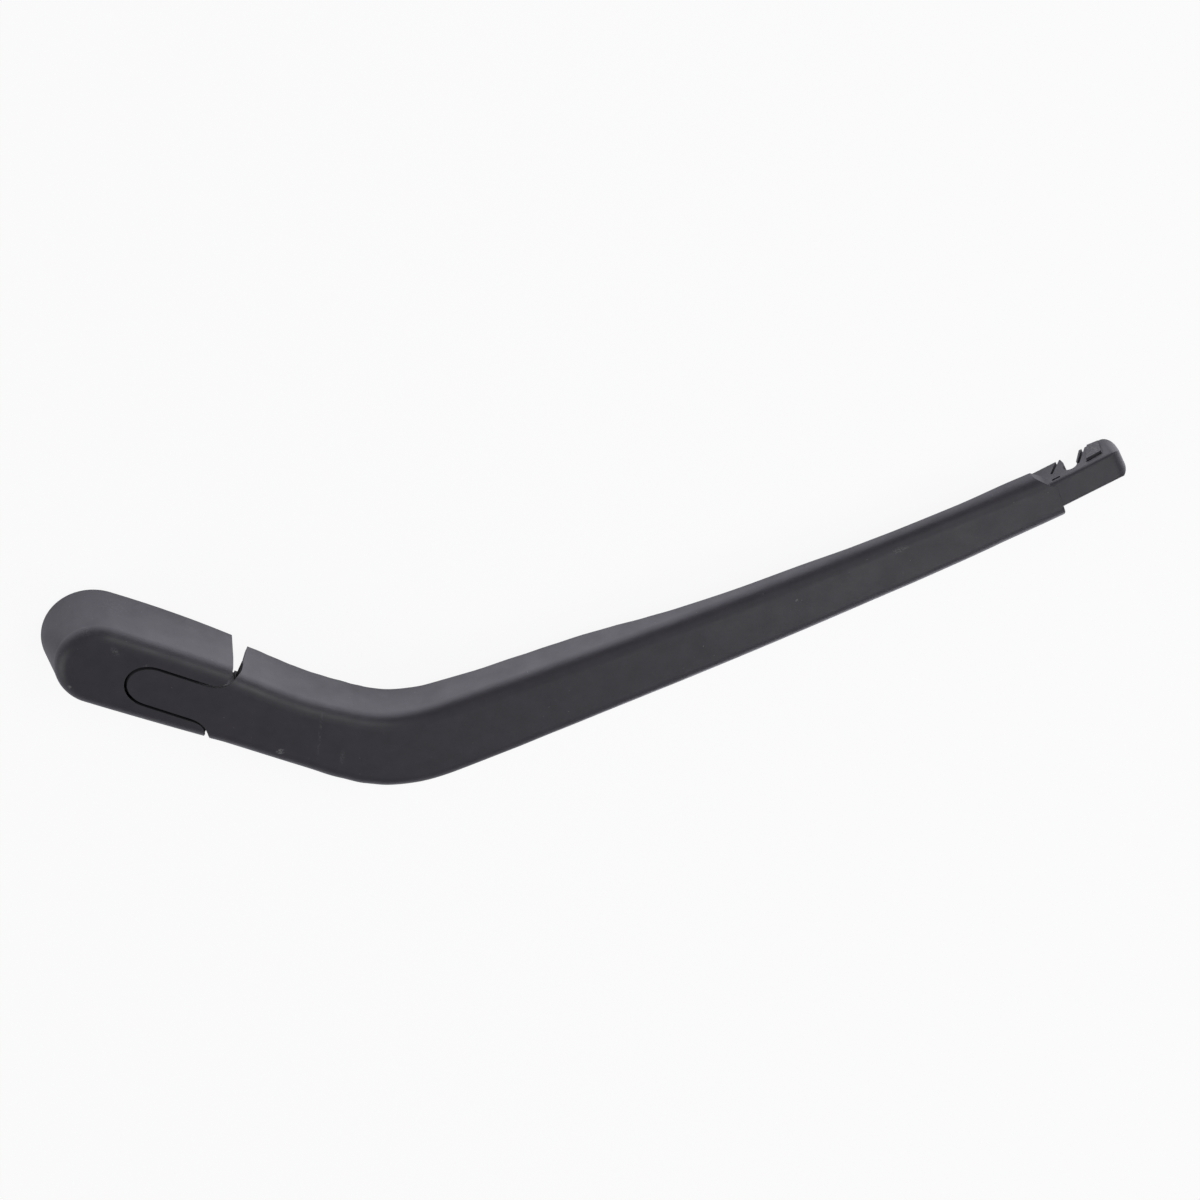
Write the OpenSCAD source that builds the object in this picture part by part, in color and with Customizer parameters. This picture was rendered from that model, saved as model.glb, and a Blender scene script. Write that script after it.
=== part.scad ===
// Rear wiper arm: a moulded arm that bends in plan, hinged to a cast head under a flip-up cover.
// Origin: spindle axis on the head's seating face. +Z points away from the glass,
// +X runs along the first straight part of the arm. Lengths are in millimetres.

/* [Arm plan] */
// Straight length from the spindle axis to the bend
seg_len = 77.5; // [70:0.5:95]
// Radius of the bend's centreline
bend_r = 44; // [36:1:60]
// Angle of the bend
bend_angle = 42; // [30:1:50]
// Radius of the slight sweep after the bend
sweep_r = 2500; // [1500:100:6000]
// Length along the centreline from the spindle axis to the shoulder
shoulder_s = 311; // [280:1:340]
// Half width of the outer face at the root
root_half_w = 12; // [11:0.25:14]
// Half width of the outer face at the shoulder
tip_half_w = 8.2; // [7:0.2:10]

/* [Arm section] */
// Height of the outer face at the root
root_top = 22; // [21:0.5:26]
// Height of the outer face at the shoulder
tip_top = 13.6; // [12:0.2:16]
// Depth of the side walls at the root
root_depth = 19.2; // [16:0.2:20]
// Depth of the side walls toward the tip
tip_depth = 5; // [4:0.2:7]
// Thickness of the moulded walls
wall = 2.2; // [1.8:0.1:3]
// Radius along the edges of the outer face
edge_r = 4.6; // [3:0.2:5]
// Slope of the side walls at the root, in degrees
root_draft = 7; // [2:1:9]
// Slope of the side walls after the bend, in degrees
arm_draft = 4; // [1:1:7]
// Number of cross ribs in the channel
rib_count = 9; // [5:1:12]
// Thickness of a cross rib
rib_t = 1.5; // [1:0.1:2.2]

/* [Hinge] */
// Distance of the hinge pin from the spindle axis
pin_x = 27; // [26:0.5:30]
// Height of the hinge pin above the seating face
pin_z = 13; // [12.5:0.25:14]
// Radius of the hinge pin
pin_r = 2.5; // [2:0.1:2.8]
// Wall of the bush in each lug
bush_wall = 0.8; // [0.6:0.1:1]
// Width of the arm's tongue
tongue_w = 11.8; // [11:0.2:13]
// Reach of the tongue from the hinge pin toward the spindle
tongue_reach = 18.6; // [17.5:0.1:19]
// Radius of the hinge lugs
lug_r = 5.2; // [4.8:0.1:5.4]
// Gap between the two lugs, for the spring hook
lug_gap = 5.2; // [4:0.2:6]
// Distance from the hinge pin to the cover's prong tips
prong_reach = 11.2; // [10:0.2:12]
// Rounding of the inner corner of each prong
prong_r = 5; // [3:0.5:5.5]

/* [Head] */
// Radius of the spindle hub
hub_r = 7.8; // [7:0.1:8.2]
// Height of the spindle hub
hub_h = 12; // [10:0.5:13]
// Radius of the hub's base flange
flange_r = 8.8; // [8.2:0.1:9]
// Height of the base flange
flange_h = 3.5; // [2:0.5:4]
// Radius of the bore for the threaded end of the spindle
bore_r = 4.1; // [3:0.1:4.5]
// Radius of the taper seat at the seating face
seat_r = 5.6; // [5:0.1:6.2]
// Length of the straight socket below the taper
seat_lead = 2; // [1:0.25:3]
// Height at which the taper ends in the bore
seat_h = 7.5; // [5:0.5:8.5]
// Thickness of the head's cheeks
cheek_t = 2.5; // [2:0.1:3]
// Radius of each cheek round the hinge pin
cheek_r = 6; // [5.2:0.1:6.4]

/* [Cover] */
// Radius of the cover's rounded end at its rim
cover_rim_r = 15.6; // [15:0.1:17]
// Offset of the rim's round end from the spindle axis
cover_rim_cx = -0.4; // [-1:0.1:0.5]
// Radius of the cover's rounded end at its outer face
cover_top_r = 12.3; // [12:0.1:14]
// Offset of the outer face's round end from the spindle axis
cover_top_cx = 1.9; // [0:0.1:3]
// Half width of the cover's rim at the prong tips
cover_tip_half_w = 13.9; // [13:0.1:16]
// Thickness of the cover
cover_wall = 2; // [1.6:0.1:2.4]
// Height of the cover's rim above the seating face
rim_z = 1.2; // [0.6:0.1:2]
// Distance of the cover's hinge from the spindle axis
nose_x = 11; // [10.6:0.1:11.4]
// Height of the cover's hinge
nose_z = 3.4; // [3:0.1:4]
// Radius of the cover's hinge stubs
stub_r = 1.5; // [1.2:0.1:1.7]

/* [Spring] */
// Distance of the spring anchor from the spindle axis
anchor_x = 22; // [21:0.25:23]
// Height of the spring anchor
anchor_z = 7.75; // [7.5:0.25:8]
// Distance of the spring pin from the spindle axis
catch_x = 75.5; // [70:0.5:77]
// Height of the spring pin
catch_z = 11; // [9.5:0.25:12]
// Radius of the anchor and spring pins
small_pin_r = 1.5; // [1.2:0.1:1.8]
// Outer radius of the spring's coil
coil_r = 4.2; // [3.6:0.1:4.4]
// Thickness of the spring's wire
wire_d = 1.5; // [1.2:0.1:1.6]
// Number of turns in the coil
turns = 16; // [8:1:16]
// Thickness of the spring hook
hook_t = 2.2; // [1.6:0.1:2.6]
// Distance from the anchor to the hook's hole for the spring
hook_reach = 15.6; // [14:0.2:18]
// Radius of the spring's loop through the hook
hook_loop = 2.2; // [1.8:0.1:2.6]

/* [Claw] */
// Length of the claw beyond the shoulder
claw_len = 22; // [20:0.5:26]
// Width of the claw
claw_w = 9.4; // [8:0.2:11]
// Turn of the claw in plan against the arm's heading
claw_turn = 4.5; // [0:0.5:7]
// Sideways offset of the claw at the shoulder
claw_shift = 0.6; // [0:0.1:1]
// Radius of the shoulder's corners in plan
shoulder_corner_r = 3; // [1:0.5:4]
// Height of the claw's glass side above the seating face
claw_base = 2.8; // [2:0.2:4]
// Distance from the shoulder to the blade pin's seat
seat_u = 6.9; // [6.5:0.1:8]
// Radius of the blade pin's seat
blade_pin_r = 2.2; // [1.9:0.1:2.4]
// Height of the blade pin's seat below the claw's outer face
blade_pin_drop = 5; // [4.5:0.1:5.4]
// Width of the slots that free the claw's lips
slot_w = 0.9; // [0.6:0.1:1.1]

/* [Hidden] */
// Gap between the arm and the cover along their shared seam
seam = 0.7;
// Gap between sliding side faces
side_gap = 0.35;
// Radial clearance of a pin that turns in its hole
run_gap = 0.04;
// Radius and half width of the head's nose that carries the cover's stubs
nose_r = 1.9;
nose_half = 2.9;
// Amount by which a cut runs past a face
eps = 0.5;
bend_arc = bend_r * bend_angle * PI / 180;
bend_end = seg_len + bend_arc;
// Centreline distance at which the side walls reach their tip depth
taper_end = 256;
// Centreline distance at which the loft starts, hidden inside the cover
loft_start = 31;
face_power = 1.2;
tongue_half = tongue_w / 2;
bush_r = pin_r + bush_wall;
cheek_in = tongue_half + side_gap;
cheek_out = cheek_in + cheek_t;
shoulder_r = norm([prong_reach, root_top - pin_z]) + seam;
hinge = [pin_x, 0, pin_z];
anchor = [anchor_x, 0, anchor_z];
spring_len = norm([catch_x - anchor_x, catch_z - anchor_z]);
spring_pitch = atan2(catch_z - anchor_z, catch_x - anchor_x);
$fn = 64;

// Smooth step from 0 to 1 as s goes from a to b
function step(s, a, b) = let(t = min(max((s - a) / (b - a), 0), 1)) t * t * (3 - 2 * t);
function mix(a, b, t) = a + (b - a) * t;

// Heading of the centreline at distance s
function heading(s) =
    s <= seg_len ? 0
    : s <= bend_end ? (s - seg_len) / bend_r * 180 / PI
    : bend_angle + (s - bend_end) / sweep_r * 180 / PI;
// Point of the centreline at distance s
function spine(s) =
    s <= seg_len ? [s, 0]
    : s <= bend_end ? [seg_len + bend_r * sin(heading(s)), bend_r * (1 - cos(heading(s)))]
    : spine(bend_end) + sweep_r * [sin(heading(s)) - sin(bend_angle), cos(bend_angle) - cos(heading(s))];
// Point of space at centreline distance s, sideways offset p[0] and height p[1]
function place(s, p) = let(c = spine(s), h = heading(s)) [c[0] - p[0] * sin(h), c[1] + p[0] * cos(h), p[1]];

function face_z(s) = mix(root_top, tip_top, pow(min(max((s - 46) / (shoulder_s - 46), 0), 1), face_power));
function depth(s) = mix(root_depth, tip_depth, step(s, 36, taper_end));
function half_w(s) = mix(root_half_w, tip_half_w, max((s - bend_end) / (shoulder_s - bend_end), 0));
function draft(s) = mix(root_draft, arm_draft, step(s, 36, bend_end));

// Cross-section as a ring of [sideways, height], inset from the outer skin by t
function section(s, t) =
    let(w = half_w(s) - t, top = face_z(s) - t, r = max(min(edge_r, depth(s) * 0.85) - t, 0.6),
        low = face_z(s) - depth(s) - (t > 0 ? 4 : 0), flare = (top - r - low) * tan(draft(s)))
    concat([[-w - flare, low]],
           [for (a = [180:-15:90]) [-w + r + r * cos(a), top - r + r * sin(a)]],
           [for (a = [90:-15:0]) [w - r + r * cos(a), top - r + r * sin(a)]],
           [[w + flare, low]]);

// Stations along the centreline, closer together in the bend
function stations(a, b) = concat(
    [for (s = [a:9:seg_len - 4]) s],
    [for (i = [0:9]) seg_len + bend_arc * i / 9],
    [for (i = [1:20]) mix(bend_end, b, i / 20)]);

// Solid through a list of equal rings, each clockwise seen from the far end
module loft(rings) {
    n = len(rings[0]);
    m = len(rings);
    polyhedron(
        points = [for (r = rings) each r],
        faces = concat(
            [[for (j = [n - 1:-1:0]) j]],
            [for (i = [0:m - 2]) for (j = [0:n - 1]) let(k = (j + 1) % n)
                [i * n + j, i * n + k, (i + 1) * n + k, (i + 1) * n + j]],
            [[for (j = [0:n - 1]) (m - 1) * n + j]]),
        convexity = 8);
}

module skin(t, a, b) {
    loft([for (s = stations(a, b)) [for (p = section(s, t)) place(s, p)]]);
}

// Extrudes a side view of [x, z] across the part, between two sideways offsets
module across(y0, y1) {
    translate([0, y1, 0]) rotate([90, 0, 0]) linear_extrude(y1 - y0, convexity = 6) children();
}

// The same extrusion on both sides of the middle plane
module both(y0, y1) {
    across(y0, y1) children();
    across(-y1, -y0) children();
}

// Cylinder across the part at a point of the middle plane
module cross_rod(p, r, y0, y1) {
    translate([p[0], y1, p[2]]) rotate([90, 0, 0]) cylinder(r = r, h = y1 - y0);
}

// Straight bar in a side view, with round ends
module bar(p, q, w) {
    a = atan2(q[1] - p[1], q[0] - p[0]);
    polygon(concat(
        [for (t = [90:20:270]) p + w / 2 * [cos(a + t), sin(a + t)]],
        [for (t = [-90:20:90]) q + w / 2 * [cos(a + t), sin(a + t)]]));
}

// Half profile, turned about the hinge pin, of the space beside the tongue that the prongs fill
module prong_profile(r, inner) {
    translate([0, inner + prong_r]) square([r, 20]);
    translate([0, inner]) square([r - prong_r, 20]);
    translate([r - prong_r, inner + prong_r]) circle(prong_r, $fn = 48);
}

module prong_sweep(r, inner) {
    for (side = [-1, 1])
        translate(hinge) rotate([side * 90, 0, 0])
            rotate_extrude($fn = 96) intersection() {
                prong_profile(r, inner);
                translate([0, -eps]) square([60, 40]);
            }
}

// Half profile of the tongue's round end, turned about the hinge pin
module tongue_profile(r, half) {
    square([r - half, half]);
    intersection() {
        translate([r - half, 0]) circle(half, $fn = 48);
        translate([r - half - eps, 0]) square([half + 2 * eps, half + eps]);
    }
}

module tongue_sweep(r, half) {
    for (side = [-1, 1])
        translate(hinge) rotate([side * 90, 0, 0]) rotate_extrude($fn = 96) tongue_profile(r, half);
}

// Outer form of the tongue: its plate, seen from the side
module tongue() {
    difference() {
        intersection() {
            tongue_sweep(tongue_reach, tongue_half);
            translate([pin_x - 30, -20, root_top - 2.6]) cube([30, 40, 2.6]);
        }
        cross_rod(hinge, bush_r, -20, 20);
    }
    across(-tongue_half, tongue_half)
        translate([pin_x - eps, root_top - 2.6]) square([prong_reach + 6, 2.6]);
    both(lug_gap / 2, tongue_half) {
        translate([pin_x, pin_z]) circle(lug_r);
        translate([pin_x - lug_r, pin_z]) square([2 * lug_r, root_top - 2 - pin_z]);
        translate([pin_x, pin_z - lug_r]) square([9, root_top - 2 - pin_z + lug_r]);
    }
    both(coil_r + 0.6, tongue_half) translate([pin_x + 8, 7.4]) square([9, root_top - 9]);
}

// Space that the arm leaves free: the prongs, and the notch in each side wall
module root_space() {
    prong_sweep(shoulder_r, tongue_half);
    both(tongue_half + 0.6, 30)
        polygon([[pin_x - 10, -3], [pin_x + 17.2, -3], [pin_x + 16.6, 3], [pin_x + 15.2, pin_z - 1],
                 [pin_x + 13, pin_z + 0.6], [pin_x - 10, pin_z + 0.6]]);
    translate([pin_x - 20, -30, -5]) cube([20 + eps, 60, 40]);
}

// Rounds the arm's two outer corners at the shoulder in plan
module shoulder_corners() {
    r = shoulder_corner_r;
    w = tip_half_w + 1.2;
    translate(place(shoulder_s, [0, -5])) rotate(heading(shoulder_s))
        for (side = [-1, 1]) scale([1, side, 1]) linear_extrude(40) difference() {
            translate([-r, w - r]) square(r + 6);
            translate([-r, w - r]) circle(r, $fn = 48);
        }
}

// Rails inside the channel that carry the spring pin
module spring_rails() {
    inner = coil_r + 0.6;
    both(inner, inner + 1.8)
        translate([pin_x + 15, catch_z - 3.6]) square([catch_x + 4 - pin_x - 15, face_z(catch_x) - catch_z + 2.2]);
}

// Cross ribs of the channel, from the bend to the tip
module ribs() {
    first = seg_len + 16;
    last = shoulder_s - 40;
    for (i = [0:rib_count - 1])
        let(s = mix(first, last, i / (rib_count - 1)), c = spine(s))
            translate([c[0], c[1], face_z(s) - depth(s) + 1.4])
                rotate(heading(s)) translate([-rib_t / 2, -half_w(s) + 1, 0])
                    cube([rib_t, 2 * half_w(s) - 2, depth(s) - 2.4]);
}

// Side view of the claw, u from the shoulder and height from the seating face
module claw_side() {
    top = tip_top - 0.1;
    seat = [seat_u, tip_top - blade_pin_drop];
    end_r = 4;
    difference() {
        union() {
            polygon([[-14, claw_base + 5], [-6, claw_base], [claw_len - end_r, claw_base],
                     [claw_len - end_r, top], [-14, top]]);
            translate([claw_len - end_r, claw_base + end_r]) circle(end_r);
            translate([claw_len - end_r, top - end_r]) circle(end_r);
            translate([claw_len - end_r, claw_base + end_r]) square([end_r, top - claw_base - 2 * end_r]);
        }
        translate(seat) circle(blade_pin_r);
        polygon([seat + [-blade_pin_r * 0.86, 0], seat + [-1.3, -3.2], seat + [-1.6, claw_base - seat[1]],
                 seat + [-2.2, claw_base - seat[1] - 1], seat + [5.4, claw_base - seat[1] - 1],
                 seat + [4.7, claw_base - seat[1]], seat + [blade_pin_r * 0.86, 0]]);
        bar([seat_u - 1.9, claw_base - 1], [seat_u - 5.9, claw_base + 5.1], slot_w);
        bar([seat_u + 7.3, claw_base - 2.2], [seat_u + 2.6, claw_base + 6.4], slot_w);
    }
}

// Claw that holds the blade's pin, with its two springy lips and side wedges
module claw() {
    origin = place(shoulder_s, [claw_shift, 0]);
    translate(origin) rotate(heading(shoulder_s) + claw_turn) {
        difference() {
            intersection() {
                across(-claw_w / 2, claw_w / 2) claw_side();
                translate([0, 0, -1]) linear_extrude(30) {
                    translate([-20, -claw_w / 2]) square([20 + claw_len - claw_w / 2, claw_w]);
                    translate([claw_len - claw_w / 2, 0]) circle(claw_w / 2);
                    translate([claw_len - claw_w / 2 - 1, -claw_w / 2 + 1.5]) square([claw_w / 2 + 1, claw_w - 3]);
                }
            }
            both(claw_w / 2 - 1, claw_w / 2 + eps)
                translate([seat_u - 7, tip_top - 2.2]) square([2.6, 0.8]);
            both(claw_w / 2 - 0.8, claw_w / 2 + eps)
                bar([seat_u + 4.8, tip_top - 2.9], [claw_len - 5.2, tip_top - 3.4], 0.6);
        }
        both(claw_w / 2 - eps, claw_w / 2 + 0.7)
            polygon([[seat_u + 5, tip_top - 3.6], [claw_len - 5.4, tip_top - 4.1],
                     [claw_len - 4.2, claw_base + 1], [claw_len - 7.6, claw_base + 0.4]]);
    }
}

module arm_body() color([0.17, 0.17, 0.18]) {
    difference() {
        union() {
            difference() {
                skin(0, loft_start, shoulder_s);
                skin(wall, loft_start - 6, shoulder_s - 26);
                root_space();
                shoulder_corners();
            }
            intersection() {
                union() {
                    spring_rails();
                    ribs();
                }
                skin(0.4, loft_start, shoulder_s - 4);
            }
            tongue();
            claw();
        }
        cross_rod(hinge, bush_r, -20, 20);
        cross_rod([catch_x, 0, catch_z], small_pin_r, -coil_r - 2.2, coil_r + 2.2);
    }
}

// Outline of the cover at a height, inset by t, as a ring seen clockwise from above
function cover_ring(h, z, t, past) =
    let(k = h / root_top, r = mix(cover_rim_r, cover_top_r, k) - t, c = mix(cover_rim_cx, cover_top_cx, k),
        e = pin_x + prong_reach + past, w = mix(cover_tip_half_w, cover_top_r - 0.1, k) - t)
    concat([[e, -w, z]], [for (a = [-90:-10:-270]) [c + r * cos(a), r * sin(a), z]], [[e, w, z]]);

// Cover's outer form: drafted sides with a rounded edge round the outer face
module cover_form(t, low, past) {
    r = edge_r - t * 0.6;
    neck = root_top - t - r;
    loft(concat(
        [cover_ring(low, low, t, past), cover_ring(neck, neck, t, past)],
        [for (a = [18:18:90]) cover_ring(neck, neck + r * sin(a), t + r * (1 - cos(a)), past)]));
}

module head_cover() color([0.17, 0.17, 0.18]) {
    stub = [-nose_x, 0, nose_z];
    difference() {
        union() {
            difference() {
                cover_form(0, rim_z, 4);
                cover_form(cover_wall, rim_z - 2, 8);
            }
            intersection() {
                both(nose_half + side_gap, nose_half + 2.4) {
                    translate([-nose_x, nose_z]) circle(stub_r + 0.9);
                    translate([-nose_x - 4, nose_z - 2.2]) square([4, 6]);
                }
                cover_form(0.2, rim_z - 1, 4);
            }
        }
        tongue_sweep(tongue_reach + seam, tongue_half + seam);
        translate([pin_x - 6, -tongue_half - seam, pin_z]) cube([30, tongue_w + 2 * seam, 20]);
        prong_ends();
        prong_corner_cut();
        cross_rod(stub, stub_r + run_gap, -6, 6);
        cross_rod(stub, nose_r + side_gap, -nose_half - side_gap, nose_half + side_gap);
        translate([-nose_x - 3.4, -6, -3]) cube([6, 12, 3 + rim_z + 0.2]);
    }
}

// Ends the prongs: upright below, and above on an arc about the cover's hinge that opens clear of the arm
module prong_ends() {
    e = pin_x + prong_reach;
    low = pin_z + 1;
    r = norm([e + nose_x, root_top - nose_z]);
    across(-30, 30)
        polygon(concat(
            [[e + 0.7, low], [e, -5], [e + 20, -5], [e + 20, root_top + 5], [e, root_top + 5]],
            [for (i = [0:8]) let(z = mix(root_top, low - 0.9, i / 8))
                [sqrt(r * r - (z - nose_z) * (z - nose_z)) - nose_x, z]]));
}

// Rounds the inner corner of each prong where the arm flares out
module prong_corner_cut() {
    r = prong_reach;
    inner = tongue_half + seam;
    for (side = [-1, 1]) scale([1, side, 1])
        translate([pin_x, 0, root_top - cover_wall - eps]) linear_extrude(cover_wall + 2 * eps)
            difference() {
                translate([r - prong_r, inner - eps]) square([prong_r + 3, prong_r + eps]);
                translate([r - prong_r, inner + prong_r]) circle(prong_r, $fn = 48);
            }
}

module pivot_head() color([0.62, 0.63, 0.65]) {
    nose = [-nose_x, 0, nose_z];
    difference() {
        union() {
            cylinder(r = hub_r, h = hub_h);
            cylinder(r = flange_r, h = flange_h);
            both(cheek_in, cheek_out) {
                polygon([[-3, 0], [pin_x - 4, 0], [pin_x + 4, pin_z - cheek_r + 1.6], [pin_x, pin_z + cheek_r],
                         [pin_x - 8, pin_z + cheek_r - 2.4], [3, hub_h], [-3, hub_h]]);
                translate([pin_x, pin_z]) circle(cheek_r);
            }
            translate([-3, -cheek_in - 1, 0]) cube([9, 2 * cheek_in + 2, hub_h]);
            across(-nose_half, nose_half) {
                translate([-nose_x, nose_z]) circle(nose_r);
                translate([-nose_x, nose_z - nose_r]) square([nose_x - 4, 2 * nose_r]);
            }
            cross_rod(nose, stub_r, -5, 5);
        }
        translate([0, 0, -eps]) cylinder(r = bore_r, h = hub_h + 2 * eps);
        translate([0, 0, -eps]) cylinder(r = seat_r, h = seat_lead + eps);
        translate([0, 0, seat_lead]) cylinder(r1 = seat_r, r2 = bore_r, h = seat_h - seat_lead);
        cross_rod(hinge, pin_r, -cheek_out - eps, cheek_out + eps);
        cross_rod(anchor, small_pin_r, -cheek_out - eps, cheek_out + eps);
    }
}

// Pin fixed in both cheeks, with a low riveted head at each end
module hinge_pin() color([0.75, 0.75, 0.77]) {
    cross_rod(hinge, pin_r, -cheek_out, cheek_out);
    for (side = [-1, 1]) scale([1, side, 1]) translate([pin_x, cheek_out, pin_z]) rotate([-90, 0, 0])
        cylinder(r1 = pin_r + 0.9, r2 = pin_r + 0.3, h = 0.8);
}

module bush(side) {
    y = side > 0 ? lug_gap / 2 : -tongue_half;
    difference() {
        cross_rod(hinge, bush_r, y, y + tongue_half - lug_gap / 2);
        cross_rod(hinge, pin_r + run_gap, -20, 20);
    }
}

module hinge_bush_left() color([0.82, 0.8, 0.72]) bush(1);

module hinge_bush_right() color([0.82, 0.8, 0.72]) bush(-1);

module spring_anchor_pin() color([0.75, 0.75, 0.77]) cross_rod(anchor, small_pin_r, -cheek_out, cheek_out);

module spring_pin() color([0.75, 0.75, 0.77])
    cross_rod([catch_x, 0, catch_z], small_pin_r, -coil_r - 2.2, coil_r + 2.2);

// Frame of the spring: x from the anchor toward the spring pin
module on_spring() {
    translate(anchor) rotate([0, -spring_pitch, 0]) children();
}

// Hook that passes under the hinge pin and is clear of it when the arm is up
module spring_hook() color([0.7, 0.7, 0.72]) on_spring() {
    hook_end = [hook_reach, 0];
    difference() {
        across(-hook_t / 2, hook_t / 2) {
            circle(small_pin_r + 1.5);
            bar([0, 0], [2.4, -4.4], 2.6);
            bar([2.4, -4.4], [9, -5.5], 2.4);
            bar([9, -5.5], [13, -3.4], 2.4);
            bar([13, -3.4], hook_end, 2.6);
            translate(hook_end) circle(2.3);
        }
        cross_rod([0, 0, 0], small_pin_r + run_gap, -5, 5);
        cross_rod([hook_end[0], 0, hook_end[1]], wire_d / 2 + 0.3, -5, 5);
    }
}

function unit(v) = v / norm(v);

// Round wire swept along a list of points, turned as little as possible from ring to ring
module wire(path, r, sides) {
    last = len(path) - 1;
    way = [for (i = [0:last]) unit(path[min(i + 1, last)] - path[max(i - 1, 0)])];
    across_way = [for (i = 0, u = unit(cross(way[0], [0.3, 0.2, 0.9])); i <= last;
                       i = i + 1, u = i > last ? u : unit(u - (u * way[i]) * way[i])) u];
    loft([for (i = [0:last]) [for (j = [0:sides - 1])
        let(b = -j * 360 / sides) path[i] + r * (cos(b) * across_way[i] + sin(b) * cross(way[i], across_way[i]))]]);
}

// Coil with a loop through the hook at one end and a loop round the spring pin at the other
module tension_spring() color([0.55, 0.56, 0.6]) on_spring() {
    per_turn = 12;
    r = coil_r - wire_d / 2;
    pin_loop = small_pin_r + wire_d / 2 + 0.1;
    first = hook_reach + 2 * hook_loop + 1;
    last = spring_len - pin_loop - 2.4;
    steps = turns * per_turn;
    wire(concat(
        [for (a = [-320:20:-10]) [hook_reach + hook_loop + hook_loop * cos(a), hook_loop * sin(a), 0]],
        [[first - 0.9, -0.3, 0.6], [first - 0.4, -0.4, 1.8]],
        [for (i = [0:steps]) let(a = i * 360 / per_turn)
            [mix(first, last, i / steps), r * sin(a), r * cos(a)]],
        [[last + 0.5, 0.5, 2.2], [last + 1, 0.3, 1]],
        [for (a = [200:20:500]) [spring_len + pin_loop * cos(a), 0, pin_loop * sin(a)]]), wire_d / 2, 6);
}

arm_body();
head_cover();
pivot_head();
hinge_pin();
hinge_bush_left();
hinge_bush_right();
spring_anchor_pin();
spring_hook();
tension_spring();
spring_pin();
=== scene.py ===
import logging
import math
from dataclasses import dataclass, field
from enum import Enum
from typing import Iterable, Sequence

import bmesh
import bpy
from mathutils import Matrix, Vector


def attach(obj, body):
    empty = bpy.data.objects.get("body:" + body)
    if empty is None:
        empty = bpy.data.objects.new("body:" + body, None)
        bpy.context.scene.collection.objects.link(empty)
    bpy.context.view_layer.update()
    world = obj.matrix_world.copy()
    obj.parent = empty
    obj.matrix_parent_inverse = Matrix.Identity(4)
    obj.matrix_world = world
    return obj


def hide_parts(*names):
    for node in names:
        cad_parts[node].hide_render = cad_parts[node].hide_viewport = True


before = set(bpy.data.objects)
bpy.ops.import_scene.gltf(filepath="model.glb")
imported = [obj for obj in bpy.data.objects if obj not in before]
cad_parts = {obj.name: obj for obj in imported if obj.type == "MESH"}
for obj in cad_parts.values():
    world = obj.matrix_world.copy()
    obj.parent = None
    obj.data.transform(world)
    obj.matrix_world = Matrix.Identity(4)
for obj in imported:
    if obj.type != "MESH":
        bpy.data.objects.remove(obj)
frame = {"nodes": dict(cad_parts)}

log = logging.getLogger("wiper_arm")

MM = 0.001
SAME_POINT = 1e-4
FLAT_ANGLE = 0.05
SHARP_ANGLE = 34.0
WHITE = (1.0, 1.0, 1.0, 1.0)

Point = tuple[float, float, float]
Flat = tuple[float, float]
Links = dict[str | int, object]
Inputs = dict[str, float | int]


class Cut(Enum):
    """What a tool solid does to the piece it meets."""

    ADD = "UNION"
    REMOVE = "DIFFERENCE"
    KEEP = "INTERSECT"


class Slot(Enum):
    """Material slots of the record."""

    PLASTIC = "black_plastic"
    ALLOY = "cast_alloy"
    PIN = "pin_steel"
    HOOK = "hook_steel"
    SPRING = "spring_steel"
    NYLON = "bush_nylon"


def mix(a: float, b: float, t: float) -> float:
    """Value between a and b at share t."""
    return a + (b - a) * t


def ease(s: float, a: float, b: float) -> float:
    """Smooth step from 0 to 1 as s goes from a to b."""
    t = min(max((s - a) / (b - a), 0.0), 1.0)
    return t * t * (3 - 2 * t)


def along(table: Sequence[Flat], s: float) -> float:
    """Amount that a table of (distance, amount) gives at distance s, with smooth steps between its rows."""
    if s <= table[0][0]:
        return table[0][1]
    for (a, low), (b, high) in zip(table, table[1:]):
        if s <= b:
            return mix(low, high, ease(s, a, b))
    return table[-1][1]


def arc(centre: Flat, radius: float, start: float, stop: float, steps: int) -> list[Flat]:
    """Points of a circular arc.

    Args:
        centre: Middle of the circle.
        radius: Radius of the circle.
        start: First angle, in degrees.
        stop: Last angle, in degrees.
        steps: Number of equal steps between the two.

    Returns:
        The points, both ends included.
    """
    turns = [math.radians(mix(start, stop, i / steps)) for i in range(steps + 1)]
    return [(centre[0] + radius * math.cos(t), centre[1] + radius * math.sin(t)) for t in turns]


def rect(x0: float, y0: float, x1: float, y1: float) -> list[Flat]:
    """Outline of a rectangle from one corner to the opposite one."""
    return [(x0, y0), (x1, y0), (x1, y1), (x0, y1)]


def placed(name: str, data: bpy.types.ID) -> bpy.types.Object:
    """A new object, at the origin and in the scene.

    Args:
        name: Name of the object.
        data: Its mesh, lamp or camera.

    Returns:
        The object.
    """
    thing = bpy.data.objects.new(name, data)
    bpy.context.scene.collection.objects.link(thing)
    return thing


def bake(thing: bpy.types.Object) -> None:
    """Turns the modifiers' result into the object's own plain mesh.

    Args:
        thing: Object whose modifiers are applied and removed.
    """
    graph = bpy.context.evaluated_depsgraph_get()
    done = bpy.data.meshes.new_from_object(thing.evaluated_get(graph))
    thing.modifiers.clear()
    old, thing.data = thing.data, done
    bpy.data.meshes.remove(old)


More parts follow.
